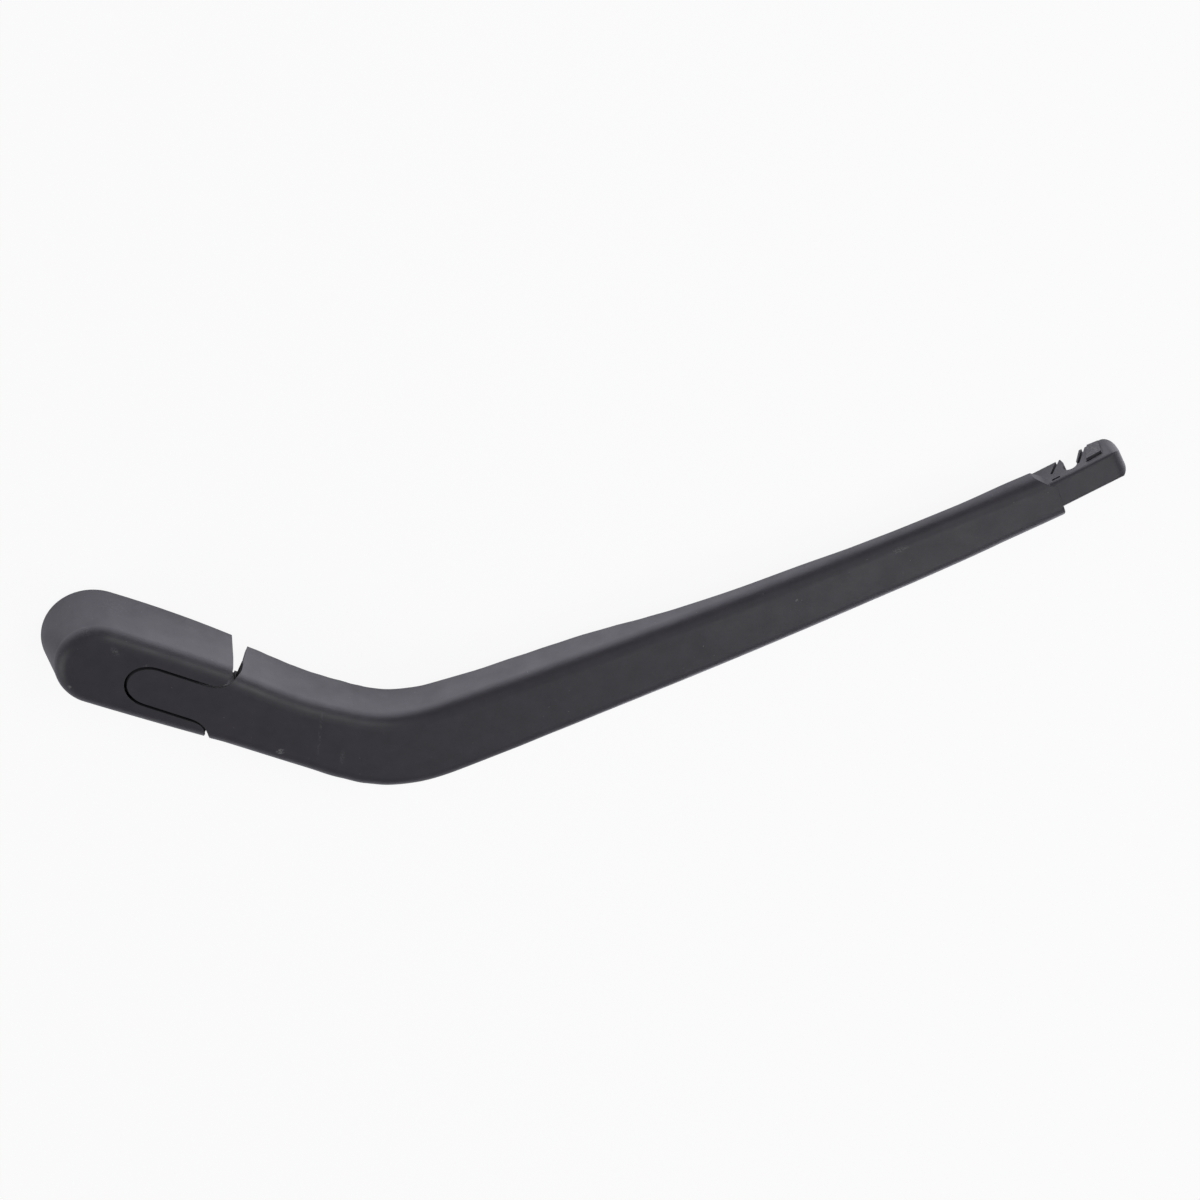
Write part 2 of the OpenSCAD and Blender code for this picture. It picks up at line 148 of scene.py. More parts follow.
class Solid:
    """A closed mesh in millimetres that other solids are added to or cut from."""

    def __init__(self, name: str, points: Sequence[Point], faces: Sequence[Sequence[int]]) -> None:
        """Makes the mesh with its faces pointing outwards.

        Args:
            name: Name of the object.
            points: Corners, in millimetres.
            faces: Corner numbers of each face.
        """
        mesh = bpy.data.meshes.new(name)
        mesh.from_pydata([tuple(p) for p in points], [], [list(f) for f in faces])
        work = bmesh.new()
        work.from_mesh(mesh)
        bmesh.ops.remove_doubles(work, verts=work.verts, dist=SAME_POINT)
        bmesh.ops.recalc_face_normals(work, faces=work.faces)
        work.to_mesh(mesh)
        work.free()
        self.object = placed(name, mesh)

    @classmethod
    def loft(cls, name: str, rings: Sequence[Sequence[Point]]) -> "Solid":
        """Solid through equal rings, closed at both ends.

        Args:
            name: Name of the object.
            rings: Rings of as many points each, in order.

        Returns:
            The solid.
        """
        n, m = len(rings[0]), len(rings)
        faces: list[list[int]] = [list(range(n)), [(m - 1) * n + j for j in range(n)]]
        for i in range(m - 1):
            for j in range(n):
                k = (j + 1) % n
                faces.append([i * n + j, i * n + k, (i + 1) * n + k, (i + 1) * n + j])
        return cls(name, [p for r in rings for p in r], faces)

    @classmethod
    def across(cls, name: str, outline: Sequence[Flat], y0: float, y1: float) -> "Solid":
        """Side view of (x, z) drawn out across the part from y0 to y1."""
        return cls.loft(name, [[(x, y, z) for x, z in outline] for y in (y0, y1)])

    @classmethod
    def upward(cls, name: str, outline: Sequence[Flat], z0: float, z1: float) -> "Solid":
        """Plan of (x, y) drawn out upwards from z0 to z1."""
        return cls.loft(name, [[(x, y, z) for x, y in outline] for z in (z0, z1)])

    @classmethod
    def rod(cls, name: str, x: float, z: float, radius: float, y0: float, y1: float) -> "Solid":
        """Cylinder across the part."""
        return cls.across(name, arc((x, z), radius, 0, 354, 59), y0, y1)

    @classmethod
    def turned(cls, name: str, x: float, z: float, profile: Sequence[Flat], steps: int) -> "Solid":
        """Solid of revolution about a line across the part.

        Args:
            name: Name of the object.
            x: Distance of the line from the spindle axis.
            z: Height of the line.
            profile: Pairs of (radius, sideways), which end at radius zero or where they start.
            steps: Number of steps in the turn.

        Returns:
            The solid.
        """
        rings = []
        for i in range(steps):
            a = 2 * math.pi * i / steps
            rings.append([(x + r * math.cos(a), y, z + r * math.sin(a)) for r, y in profile])
        n = len(profile)
        faces = [
            [i * n + j, i * n + j + 1, (i + 1) % steps * n + j + 1, (i + 1) % steps * n + j]
            for i in range(steps)
            for j in range(n - 1)
        ]
        return cls(name, [p for r in rings for p in r], faces)

    @classmethod
    def adopt(cls, thing: bpy.types.Object) -> "Solid":
        """Solid around an object that is in metres."""
        solid = cls.__new__(cls)
        solid.object = thing
        thing.data.transform(Matrix.Scale(1 / MM, 4))
        return solid

    def meet(self, how: Cut, *tools: "Solid") -> "Solid":
        """Adds, removes or keeps what each tool covers, and uses the tools up.

        Args:
            how: What the tools do.
            tools: Solids, each met in turn.

        Returns:
            This solid.
        """
        for tool in tools:
            step = self.object.modifiers.new("meet", "BOOLEAN")
            step.operation = how.value
            step.solver = "EXACT"
            step.object = tool.object
            bake(self.object)
            tool.drop()
        return self

    def soften(self, width: float) -> None:
        """Rounds the sharp edges of a plain solid.

        Args:
            width: Width of the rounding, in millimetres.
        """
        step = self.object.modifiers.new("soften", "BEVEL")
        step.width = width
        step.segments = 3
        step.limit_method = "ANGLE"
        step.angle_limit = math.radians(40)
        bake(self.object)

    def drop(self) -> None:
        """Removes the object and its mesh."""
        mesh = self.object.data
        bpy.data.objects.remove(self.object)
        bpy.data.meshes.remove(mesh)

    def moved(self, matrix: Matrix) -> "Solid":
        """This solid with its corners carried by a matrix, in millimetres."""
        self.object.data.transform(matrix)
        return self

    def finished(self, weld: float = 0.004) -> bpy.types.Object:
        """Cleans the mesh, smooths it but for its creases, and brings it to metres.

        Args:
            weld: Distance in millimetres under which corners are merged.

        Returns:
            The object, at the origin.
        """
        mesh = self.object.data
        work = bmesh.new()
        work.from_mesh(mesh)
        bmesh.ops.remove_doubles(work, verts=work.verts, dist=weld)
        bmesh.ops.dissolve_degenerate(work, edges=work.edges, dist=weld)
        bmesh.ops.dissolve_limit(
            work, angle_limit=math.radians(FLAT_ANGLE), verts=work.verts, edges=work.edges
        )
        work.to_mesh(mesh)
        work.free()
        mesh.transform(Matrix.Scale(MM, 4))
        mesh.shade_smooth()
        mesh.set_sharp_from_angle(angle=math.radians(SHARP_ANGLE))
        even = self.object.modifiers.new("even", "WEIGHTED_NORMAL")
        even.keep_sharp = True
        even.weight = 80
        bake(self.object)
        return self.object


@dataclass(frozen=True)
class ArmLine:
    """Centreline and cross-section of the arm, in millimetres and degrees."""

    seg_len: float = 77.5
    bend_r: float = 44.0
    bend_angle: float = 42.0
    sweep_r: float = 2500.0
    shoulder_s: float = 311.0
    root_half_w: float = 12.0
    tip_half_w: float = 8.2
    root_top: float = 22.0
    tip_top: float = 13.6
    root_depth: float = 19.2
    tip_depth: float = 5.0
    wall: float = 2.2
    edge_r: float = 4.6
    edge_share: float = 0.85
    least_edge: float = 0.6
    hollow_past: float = 4.0
    root_draft: float = 7.0
    arm_draft: float = 4.0
    taper_start: float = 36.0
    taper_end: float = 256.0
    fall_start: float = 46.0
    face_power: float = 1.2
    loft_start: float = 5.0
    bend_step: float = 1.2
    inner_bow: tuple[Flat, ...] = (
        (38, 0), (46, -0.5), (52, -1.0), (58, -1.4), (64, -1.5), (70, -1.2), (76, -0.65), (82, -0.2),
        (90, 0), (102, 0.25), (112, 0),
    )
    outer_bow: tuple[Flat, ...] = (
        (38, 0), (46, -0.35), (72, -0.25), (82, 0), (88, 0.6), (94, 1.0), (100, 0.95), (110, 0.6),
        (130, 0.45), (142, 0.2), (165, 0),
    )
    wall_drop: tuple[Flat, ...] = (
        (125, 0), (140, 1.0), (150, 1.65), (160, 2.1), (170, 1.8), (180, 1.0), (190, 0.5), (205, 0.4),
        (230, 0.9), (250, 0.3), (262, 0), (280, 0), (300, 0.9),
    )

    @property
    def bend_arc(self) -> float:
        """Length of the bend along the centreline."""
        return self.bend_r * math.radians(self.bend_angle)

    @property
    def bend_end(self) -> float:
        """Distance along the centreline at which the bend ends."""
        return self.seg_len + self.bend_arc

    def heading(self, s: float) -> float:
        """Heading of the centreline.

        Args:
            s: Distance along the centreline.

        Returns:
            The heading, in degrees.
        """
        if s <= self.seg_len:
            return 0.0
        if s <= self.bend_end:
            return math.degrees((s - self.seg_len) / self.bend_r)
        return self.bend_angle + math.degrees((s - self.bend_end) / self.sweep_r)

    def spine(self, s: float) -> Flat:
        """Point of the centreline.

        Args:
            s: Distance along the centreline.

        Returns:
            The point in plan.
        """
        if s <= self.seg_len:
            return s, 0.0
        h = math.radians(self.heading(min(s, self.bend_end)))
        x = self.seg_len + self.bend_r * math.sin(h)
        y = self.bend_r * (1 - math.cos(h))
        if s > self.bend_end:
            g = math.radians(self.heading(s))
            x += self.sweep_r * (math.sin(g) - math.sin(h))
            y += self.sweep_r * (math.cos(h) - math.cos(g))
        return x, y

    def place(self, s: float, p: Flat) -> Point:
        """Point of space at distance s, sideways offset p[0] and height p[1]."""
        (x, y), h = self.spine(s), math.radians(self.heading(s))
        return x - p[0] * math.sin(h), y + p[0] * math.cos(h), p[1]

    def face_z(self, s: float) -> float:
        """Height of the outer face."""
        t = min(max((s - self.fall_start) / (self.shoulder_s - self.fall_start), 0.0), 1.0)
        return mix(self.root_top, self.tip_top, t**self.face_power)

    def depth(self, s: float) -> float:
        """Depth of the side walls."""
        share = ease(s, self.taper_start, self.taper_end)
        return mix(self.root_depth, self.tip_depth, share) + along(self.wall_drop, s)

    def half_w(self, s: float) -> float:
        """Half width of the outer face."""
        share = max((s - self.bend_end) / (self.shoulder_s - self.bend_end), 0.0)
        return mix(self.root_half_w, self.tip_half_w, share)

    def draft(self, s: float) -> float:
        """Slope of the side walls, in degrees."""
        return mix(self.root_draft, self.arm_draft, ease(s, self.taper_start, self.bend_end))

    def section(self, s: float, inset: float, steps: int) -> list[Flat]:
        """Cross-section as a ring of (sideways, height).

        Args:
            s: Distance along the centreline.
            inset: How far inside the outer skin the ring lies.
            steps: Number of steps in each rounded edge.

        Returns:
            The ring, from the foot of one wall to the foot of the other.
        """
        w, top = self.half_w(s) - inset, self.face_z(s) - inset
        r = max(min(self.edge_r, self.depth(s) * self.edge_share) - inset, self.least_edge)
        low = self.face_z(s) - self.depth(s) - (self.hollow_past if inset > 0 else 0.0)
        flare = (top - r - low) * math.tan(math.radians(self.draft(s)))
        out, far = w + along(self.outer_bow, s), w + along(self.inner_bow, s)
        return (
            [(-out - flare, low)]
            + arc((-out + r, top - r), r, 180, 90, steps)
            + arc((far - r, top - r), r, 90, 0, steps)
            + [(far + flare, low)]
        )

    def stations(self, start: float, stop: float, pitch: float) -> list[float]:
        """Distances along the centreline, closer together in the bend.

        Args:
            start: First distance.
            stop: Last distance.
            pitch: Usual step before the bend; past it the steps are half as long again.

        Returns:
            The distances.
        """
        first = max(2, round((self.seg_len - start) / pitch))
        turn = max(8, round(self.bend_angle / self.bend_step))
        last = max(2, round((stop - self.bend_end) / (pitch * 1.5)))
        return (
            [mix(start, self.seg_len, i / first) for i in range(first)]
            + [self.seg_len + self.bend_arc * i / turn for i in range(turn)]
            + [mix(self.bend_end, stop, i / last) for i in range(last + 1)]
        )


@dataclass(frozen=True)
class HingeSizes:
    """Hinge pin, tongue and prongs, in millimetres."""

    pin_x: float = 27.0
    pin_z: float = 13.0
    pin_r: float = 2.5
    bush_wall: float = 0.8
    tongue_w: float = 11.8
    tongue_reach: float = 18.6
    tongue_t: float = 2.6
    lug_r: float = 5.2
    lug_gap: float = 5.2
    prong_reach: float = 11.2
    prong_r: float = 5.0
    seam: float = 0.85
    past: float = 32.0
    turn_steps: int = 144

    @property
    def tongue_half(self) -> float:
        """Half width of the tongue."""
        return self.tongue_w / 2

    def shoulder_r(self, top: float) -> float:
        """Radius about the pin of the arm's edge of the seam."""
        return math.hypot(self.prong_reach, top - self.pin_z) + self.seam

    def tongue(self, name: str, grow: float, side: float) -> Solid:
        """Round-ended tongue turned about the hinge pin.

        Args:
            name: Name of the object.
            grow: Extra reach toward the spindle.
            side: Extra half width.

        Returns:
            The solid.
        """
        half, reach = self.tongue_half + side, self.tongue_reach + grow
        profile = [(0.0, -half)] + arc((reach - half, 0), half, -90, 90, 24) + [(0.0, half)]
        return self.about_pin(name, profile)

    def about_pin(self, name: str, profile: Sequence[Flat]) -> Solid:
        """Solid of revolution about the hinge pin."""
        return Solid.turned(name, self.pin_x, self.pin_z, profile, self.turn_steps)

    def prong(self, radius: float, side: int) -> Solid:
        """Space beside the tongue that a prong fills, turned about the hinge pin.

        Args:
            radius: Reach from the pin.
            side: 1 for the inner side of the arm, -1 for the outer side.

        Returns:
            The solid.
        """
        inner = self.tongue_half
        bend = arc((radius - self.prong_r, inner + self.prong_r), self.prong_r, -90, 0, 12)
        profile = [(0.0, inner)] + bend + [(radius, self.past), (0.0, self.past)]
        return self.about_pin("prong", [(r, side * y) for r, y in profile])


@dataclass(frozen=True)
class SpringSizes:
    """Places of the spring's two pins and the coil's size, in millimetres."""

    anchor_x: float = 22.0
    anchor_z: float = 7.75
    catch_x: float = 75.5
    catch_z: float = 11.0
    catch_r: float = 1.5
    coil_r: float = 4.2
    rail_gap: float = 0.6

    @property
    def rail_y(self) -> float:
        """Distance of the rails and struts from the middle of the channel."""
        return self.coil_r + self.rail_gap


@dataclass(frozen=True)
class Claw:
    """Claw that holds the blade's pin, with two springy lips and side wedges, in millimetres."""

    length: float = 22.0
    width: float = 9.4
    base: float = 2.8
    root_u: float = -14.0
    round_r: float = 4.0
    end_r: float = 3.4
    end_past: float = 0.2
    crown_r: float = 1.2
    soft_edge: float = 0.3
    seat_u: float = 6.9
    pin_r: float = 2.2
    pin_drop: float = 5.0
    throat_share: float = 0.86
    slot_w: float = 0.9
    left_slot: tuple[Flat, Flat] = ((-1.9, -1.0), (-5.9, 5.1))
    right_slot: tuple[Flat, Flat] = ((7.3, -2.2), (2.6, 6.4))
    mark_u: Flat = (-7.0, -4.4)
    mark_drop: Flat = (2.2, 1.4)
    mark_depth: float = 1.0
    groove_w: float = 0.5
    groove_depth: float = 0.8
    wedge_rise: float = 0.7
    wedge_root: float = 0.5
    turn: float = 4.5
    shift: float = 0.6

    def bar(self, p: Flat, q: Flat, width: float) -> list[Flat]:
        """Outline of a straight bar with round ends."""
        a = math.degrees(math.atan2(q[1] - p[1], q[0] - p[0]))
        return arc(p, width / 2, a + 90, a + 270, 10) + arc(q, width / 2, a - 90, a + 90, 10)

    def block(self, top: float) -> Solid:
        """Plain block of the claw, rounded at its end and crowned on its face.

        Args:
            top: Height of its face.

        Returns:
            The solid.
        """
        length, base, r, half = self.length, self.base, self.round_r, self.width / 2
        side = [(self.root_u, top), (self.root_u, base + 5), (-6, base)]
        side += arc((length - r, base + r), r, -90, 0, 10) + arc((length - r, top - r), r, 0, 90, 10)
        block = Solid.across("claw", side, -half, half)
        end, bend = length + self.end_past, self.end_r
        plan = [(-20, half), (-20, -half)] + arc((end - bend, bend - half), bend, -90, 0, 8)
        plan += arc((end - bend, half - bend), bend, 0, 90, 8)
        block.meet(Cut.KEEP, Solid.upward("plan", plan, -2, 30))
        crown = self.crown_r
        section = [(-half, -2.0)] + arc((crown - half, top - crown), crown, 180, 90, 8)
        section += arc((half - crown, top - crown), crown, 90, 0, 8) + [(half, -2.0)]
        rings = [[(u, y, z) for y, z in section] for u in (-20.0, length + 1.0)]
        block.meet(Cut.KEEP, Solid.loft("crown", rings))
        block.soften(self.soft_edge)
        return block

    def mouth(self, seat_z: float) -> list[Solid]:
        """Tools that open the seat of the blade's pin, its throat and the slots of the two lips.

        Args:
            seat_z: Height of the seat's middle.

        Returns:
            The tools.
        """
        seat, base, wide = self.seat_u, self.base, self.width / 2 + 1
        reach = self.pin_r * self.throat_share
        throat = [
            (seat - reach, seat_z), (seat - 1.3, seat_z - 3.2), (seat - 1.6, base),
            (seat - 2.2, base - 1), (seat + 5.4, base - 1), (seat + 4.7, base), (seat + reach, seat_z),
        ]
        tools = [Solid.rod("seat", seat, seat_z, self.pin_r, -wide, wide)]
        tools.append(Solid.across("throat", throat, -wide, wide))
        for (u0, z0), (u1, z1) in (self.left_slot, self.right_slot):
            slot = self.bar((seat + u0, base + z0), (seat + u1, base + z1), self.slot_w)
            tools.append(Solid.across("slot", slot, -wide, wide))
        return tools

    def dress_side(self, claw: Solid, tip: float, way: int) -> None:
        """Cuts the mark and the groove into one side and lays the wedge on it.

        Args:
            claw: The claw.
            tip: Height of the arm's face at its tip.
            way: 1 for the inner side of the arm, -1 for the outer side.
        """
        seat, base, length, half = self.seat_u, self.base, self.length, self.width / 2
        u0, u1 = (seat + u for u in self.mark_u)
        low, high = (tip - drop for drop in self.mark_drop)
        mark = rect(u0, low, u1, high)
        groove = self.bar((seat + 4.8, tip - 2.7), (length - 5.2, tip - 3.2), self.groove_w)
        wedge = [(seat + 5, tip - 3.1), (length - 5.0, tip - 3.6), (length - 4.0, base + 1),
                 (length - 7.6, base + 0.4)]
        claw.meet(Cut.REMOVE, Solid.across("mark", mark, way * (half - self.mark_depth), way * (half + 1)),
                  Solid.across("groove", groove, way * (half - self.groove_depth), way * (half + 1)))
        inner, outer = half - self.wedge_root, half + self.wedge_rise
        claw.meet(Cut.ADD, Solid.across("wedge", wedge, way * inner, way * outer))

    def build(self, line: ArmLine) -> Solid:
        """The claw, in its place at the arm's shoulder.

        Args:
            line: Centreline of the arm.

        Returns:
            The solid.
        """
        claw = self.block(line.tip_top - 0.1)
        claw.meet(Cut.REMOVE, *self.mouth(line.tip_top - self.pin_drop))
        for way in (1, -1):
            self.dress_side(claw, line.tip_top, way)
        x, y, _ = line.place(line.shoulder_s, (self.shift, 0))
        turn = Matrix.Rotation(math.radians(line.heading(line.shoulder_s) + self.turn), 4, "Z")
        return claw.moved(Matrix.Translation((x, y, 0)) @ turn)


@dataclass
class ArmShell:
    """The moulded arm: hollow skin, hinge tongue, rails and claw."""

    line: ArmLine
    hinge: HingeSizes
    spring: SpringSizes
    claw: Claw = field(default_factory=Claw)
    pitch: float = 1.8
    edge_steps: int = 9
    notch: tuple[Flat, ...] = ((-10, -16), (17.2, -16), (16.6, -10), (15.2, -1), (13, 0.6), (-10, 0.6))
    notch_gap: float = 0.6
    outer_corner_r: float = 3.0
    inner_corner: Flat = (5.2, 4.6)
    lug_drop: float = 1.4
    strut_x: Flat = (8.0, 17.0)
    strut_low: float = 7.4
    strut_drop: float = 1.6
    web_t: float = 1.4
    web_gap: float = 0.15
    web_low: float = 10.5
    web_reach: float = 13.2
    rail_t: float = 1.8
    rail_drop: float = 3.6
    face_drop: float = 1.4

    def skin(self, name: str, inset: float, start: float, stop: float) -> Solid:
        """Solid inside the arm's outer skin.

        Args:
            name: Name of the object.
            inset: How far inside the outer skin it stays.
            start: Distance along the centreline at which it starts.
            stop: Distance at which it ends.

        Returns:
            The solid.
        """
        rings = []
        for s in self.line.stations(start, stop, self.pitch):
            ring = self.line.section(s, inset, self.edge_steps)
            rings.append([self.line.place(s, p) for p in ring])
        return Solid.loft(name, rings)

    def root_cuts(self) -> list[Solid]:
        """Tools that leave room for the cover's prongs and open the notch in each side wall.

        Returns:
            The tools.
        """
        h = self.hinge
        cuts = [h.prong(h.shoulder_r(self.line.root_top), side) for side in (1, -1)]
        notch = [(h.pin_x + x, h.pin_z + z) for x, z in self.notch]
        near = h.tongue_half + self.notch_gap
        cuts += [Solid.across("notch", notch, y0, y1) for y0, y1 in ((near, 30), (-30, -near))]
        x, low = h.pin_x, self.line.root_top - h.tongue_t
        front = Solid.across("front", rect(x - 40, -5, x, 35), -30, 30)
        kept = h.tongue("tongue", 0, 0)
        kept.meet(Cut.KEEP, Solid.across("slab", rect(x - 30, low, x + 5, 40), -20, 20))
        front.meet(Cut.REMOVE, kept)
        cuts.append(front)
        return cuts

    def shoulder_cuts(self) -> list[Solid]:
        """Tools that shape the two corners of the shoulder in plan.

        Returns:
            The tools.
        """
        wide, r = self.line.tip_half_w + 0.5, self.outer_corner_r
        x, y = self.line.spine(self.line.shoulder_s)
        turn = Matrix.Rotation(math.radians(self.line.heading(self.line.shoulder_s)), 4, "Z")
        outer = [(6, r - wide), (6, -wide - 6), (-r, -wide - 6)] + arc((-r, r - wide), r, -90, 0, 14)
        long, deep = self.inner_corner
        inner = [(6, wide - deep), (6, wide + 6), (-long - 1.6, wide + 6), (-long - 1.6, wide + 0.2)]
        inner += [(-long - 0.9, wide), (-long - 0.4, wide - 0.3), (4.0 - long, wide - deep + 0.3),
                  (4.6 - long, wide - deep)]
        cuts = [Solid.upward("corner", plan, -5, 35) for plan in (outer, inner)]
        return [cut.moved(Matrix.Translation((x, y, 0)) @ turn) for cut in cuts]

    def tongue_parts(self) -> list[Solid]:
        """The two hinge lugs and the struts behind them.

        Returns:
            The pieces.
        """
        h, top, x = self.hinge, self.line.root_top, self.hinge.pin_x
        x0, x1 = x + self.strut_x[0], x + self.strut_x[1]
        lug_top, strut_top = top - self.lug_drop, top - self.strut_drop
        lug = arc((x, h.pin_z), h.lug_r, 180, 270, 16)
        lug += [(x + 9, h.pin_z - h.lug_r), (x + 9, lug_top), (x - h.lug_r, lug_top)]
        strut = rect(x0, self.strut_low, x1, strut_top)
        parts = []
        for side in (1, -1):
            parts.append(Solid.across("lug", lug, side * h.lug_gap / 2, side * h.tongue_half))
            parts.append(Solid.across("strut", strut, side * self.spring.rail_y, side * h.tongue_half))
        return parts

    def webs(self) -> list[Solid]:
        """Webs behind the notches, on an arc about the hinge pin so that they clear the cover.

        Returns:
            The pieces.
        """
        h, x0, x1 = self.hinge, self.hinge.pin_x + 4, self.hinge.pin_x + 30
        low, high = self.web_low, self.line.root_top - 1
        near = h.shoulder_r(self.line.root_top) + self.web_gap
        far = near + self.web_t
        webs = []
        for side in (1, -1):
            y0, y1 = side * (h.tongue_half - 0.4), side * self.web_reach
            web = h.about_pin("web", [(near, y0), (far, y0), (far, y1), (near, y1), (near, y0)])
            web.meet(Cut.KEEP, Solid.across("ahead", rect(x0, low, x1, high), -30, 30))
            web.meet(Cut.KEEP, self.skin("web_room", 0.6, self.line.loft_start, h.pin_x + 40))
            webs.append(web)
        return webs

    def rails(self) -> list[Solid]:
        """Rails in the channel that carry the spring pin.

        Returns:
            The pieces.
        """
        x0, x1 = self.hinge.pin_x + 15, self.spring.catch_x + 4
        low = self.spring.catch_z - self.rail_drop
        high = self.line.face_z(self.spring.catch_x) - self.face_drop
        near, far = self.spring.rail_y, self.spring.rail_y + self.rail_t
        return [Solid.across("rail", rect(x0, low, x1, high), side * near, side * far) for side in (1, -1)]

    def build(self) -> bpy.types.Object:
        """The whole moulding as one mesh.

        Returns:
            The arm, in metres.
        """
        line, h, spring = self.line, self.hinge, self.spring
        shell = self.skin("moulded_arm", 0, line.loft_start, line.shoulder_s)
        shell.meet(Cut.REMOVE, self.skin("hollow", line.wall, line.loft_start - 6, line.shoulder_s - 26))
        shell.meet(Cut.REMOVE, *self.root_cuts(), *self.shoulder_cuts())
        shell.meet(Cut.ADD, *self.tongue_parts(), *self.webs(), *self.rails(), self.claw.build(line))
        reach = spring.coil_r + 2.2
        shell.meet(
            Cut.REMOVE,
            Solid.rod("pin_hole", h.pin_x, h.pin_z, h.pin_r + h.bush_wall, -20, 20),
            Solid.rod("catch_hole", spring.catch_x, spring.catch_z, spring.catch_r, -reach, reach),
        )
        return shell.finished()


@dataclass
class HeadCover:
    """Flip-up cover over the head, with two prongs beside the arm's tongue."""

    line: ArmLine
    hinge: HingeSizes
    rim_r: float = 15.6
    rim_cx: float = -0.4
    top_r: float = 12.3
    top_cx: float = 1.9
    tip_half_w: float = 13.9
    wall: float = 2.0
    rim_z: float = 1.2
    nose_x: float = 11.0
    nose_z: float = 3.4
    stub_r: float = 1.5
    nose_r: float = 1.9
    nose_half: float = 2.9
    side_gap: float = 0.35
    run_gap: float = 0.04
    bulge: float = 0.7
    inner_end: float = 0.4
    outer_end: float = -0.9
    corner_r: float = 3.2
    end_lean: float = 0.5
    top_taper: float = 0.1
    edge_share: float = 0.6
    ear_wall: float = 0.9
    ear_end: float = 2.4
    edge_steps: int = 10
    side_steps: int = 8
    end_steps: int = 12

    def ring(self, h: float, z: float, inset: float, past: float) -> list[Point]:
        """Outline of the cover at one height.

        Args:
            h: Height whose outline is drawn.
            z: Height that it is drawn at.
            inset: How far inside the outer face it stays.
            past: How far it runs on past the ends of the prongs.

        Returns:
            The outline.
        """
        k = h / self.line.root_top
        r, cx = mix(self.rim_r, self.top_r, k) - inset, mix(self.rim_cx, self.top_cx, k)
        e = self.hinge.pin_x + self.hinge.prong_reach + past
        w = mix(self.tip_half_w, self.top_r - self.top_taper, k) - inset
        sides = []
        for extra in (self.inner_end, self.outer_end):
            side = []
            for i in range(1, self.side_steps + 1):
                t = i / self.side_steps
                y = mix(r, w + extra, t) + 4 * self.bulge * (1 - k) * t * (1 - t)
                side.append((mix(cx, e, t), y, z))
            sides.append(side)
        round_end = [(x, y, z) for x, y in arc((cx, 0), r, -90, -270, 72)]
        return [(x, -y, z) for x, y, z in reversed(sides[1])] + round_end + sides[0]

    def form(self, name: str, inset: float, low: float, past: float) -> Solid:
        """Drafted form with a rounded edge round the outer face.

        Args:
            name: Name of the object.
            inset: How far inside the outer face it stays.
            low: Height of its foot.
            past: How far it runs on past the ends of the prongs.

        Returns:
            The solid.
        """
        r = self.line.edge_r - inset * self.edge_share
        neck = self.line.root_top - inset - r
        rings = [self.ring(mix(low, neck, i / 4), mix(low, neck, i / 4), inset, past) for i in range(5)]
        for i in range(1, self.edge_steps + 1):
            a = math.radians(90 * i / self.edge_steps)
            rings.append(self.ring(neck, neck + r * math.sin(a), inset + r * (1 - math.cos(a)), past))
        return Solid.loft(name, rings)

    def corner(self, side: int) -> Solid:
        """Tool that rounds the inner corner of a prong, one seam away from the arm's corner.

        Args:
            side: 1 for the inner side of the arm, -1 for the outer side.

        Returns:
            The tool.
        """
        h, top, bend = self.hinge, self.line.root_top, self.corner_r
        x, inner, rise = h.pin_x, h.tongue_half + h.seam, top - h.pin_z
        far = x + h.prong_reach + 3
        plan = [(x + 2, inner - 0.5), (far, inner - 0.5), (far, inner + bend)]
        for r, y in arc((h.shoulder_r(top) - h.seam - bend, inner + bend), bend, 0, -90, 16):
            plan.append((x + math.sqrt(r * r - rise * rise), y))
        return Solid.upward("corner", [(a, side * b) for a, b in plan], top - self.wall - 0.5, top + 0.5)

    def ends(self) -> Solid:
        """Tool that ends the prongs: nearly upright below, and above on an arc about the cover's hinge.

        Returns:
            The tool.
        """
        e, low, top = self.hinge.pin_x + self.hinge.prong_reach, self.hinge.pin_z + 1, self.line.root_top
        r = math.hypot(e + self.nose_x, top - self.nose_z)
        lean = self.end_lean
        outline = [(e + lean, low - 1), (e - 0.2, -5), (e + 20, -5), (e + 20, top + 5), (e, top + 5)]
        for i in range(self.end_steps + 1):
            z = mix(top, low - 0.9, i / self.end_steps)
            swing = math.sqrt(r * r - (z - self.nose_z) ** 2) - self.nose_x
            outline.append((min(swing, e + lean), z))
        return Solid.across("ends", outline, -30, 30)

    def ears(self) -> list[Solid]:
        """Ears beside the head's nose, which the cover turns on.

        Returns:
            The pieces.
        """
        x, z, r = self.nose_x, self.nose_z, self.stub_r + self.ear_wall
        outline = [(-x - 4, z - 2.2), (-x, z - r)] + arc((-x, z), r, -75, 75, 10)
        outline += [(-x, z + r), (-x - 4, z + 3.8)]
        ears = []
        for side in (1, -1):
            near, far = self.nose_half + self.side_gap, self.nose_half + self.ear_end
            ear = Solid.across("ear", outline, side * near, side * far)
            ear.meet(Cut.KEEP, self.form("skin", 0.2, self.rim_z - 1, 4))
            ears.append(ear)
        return ears

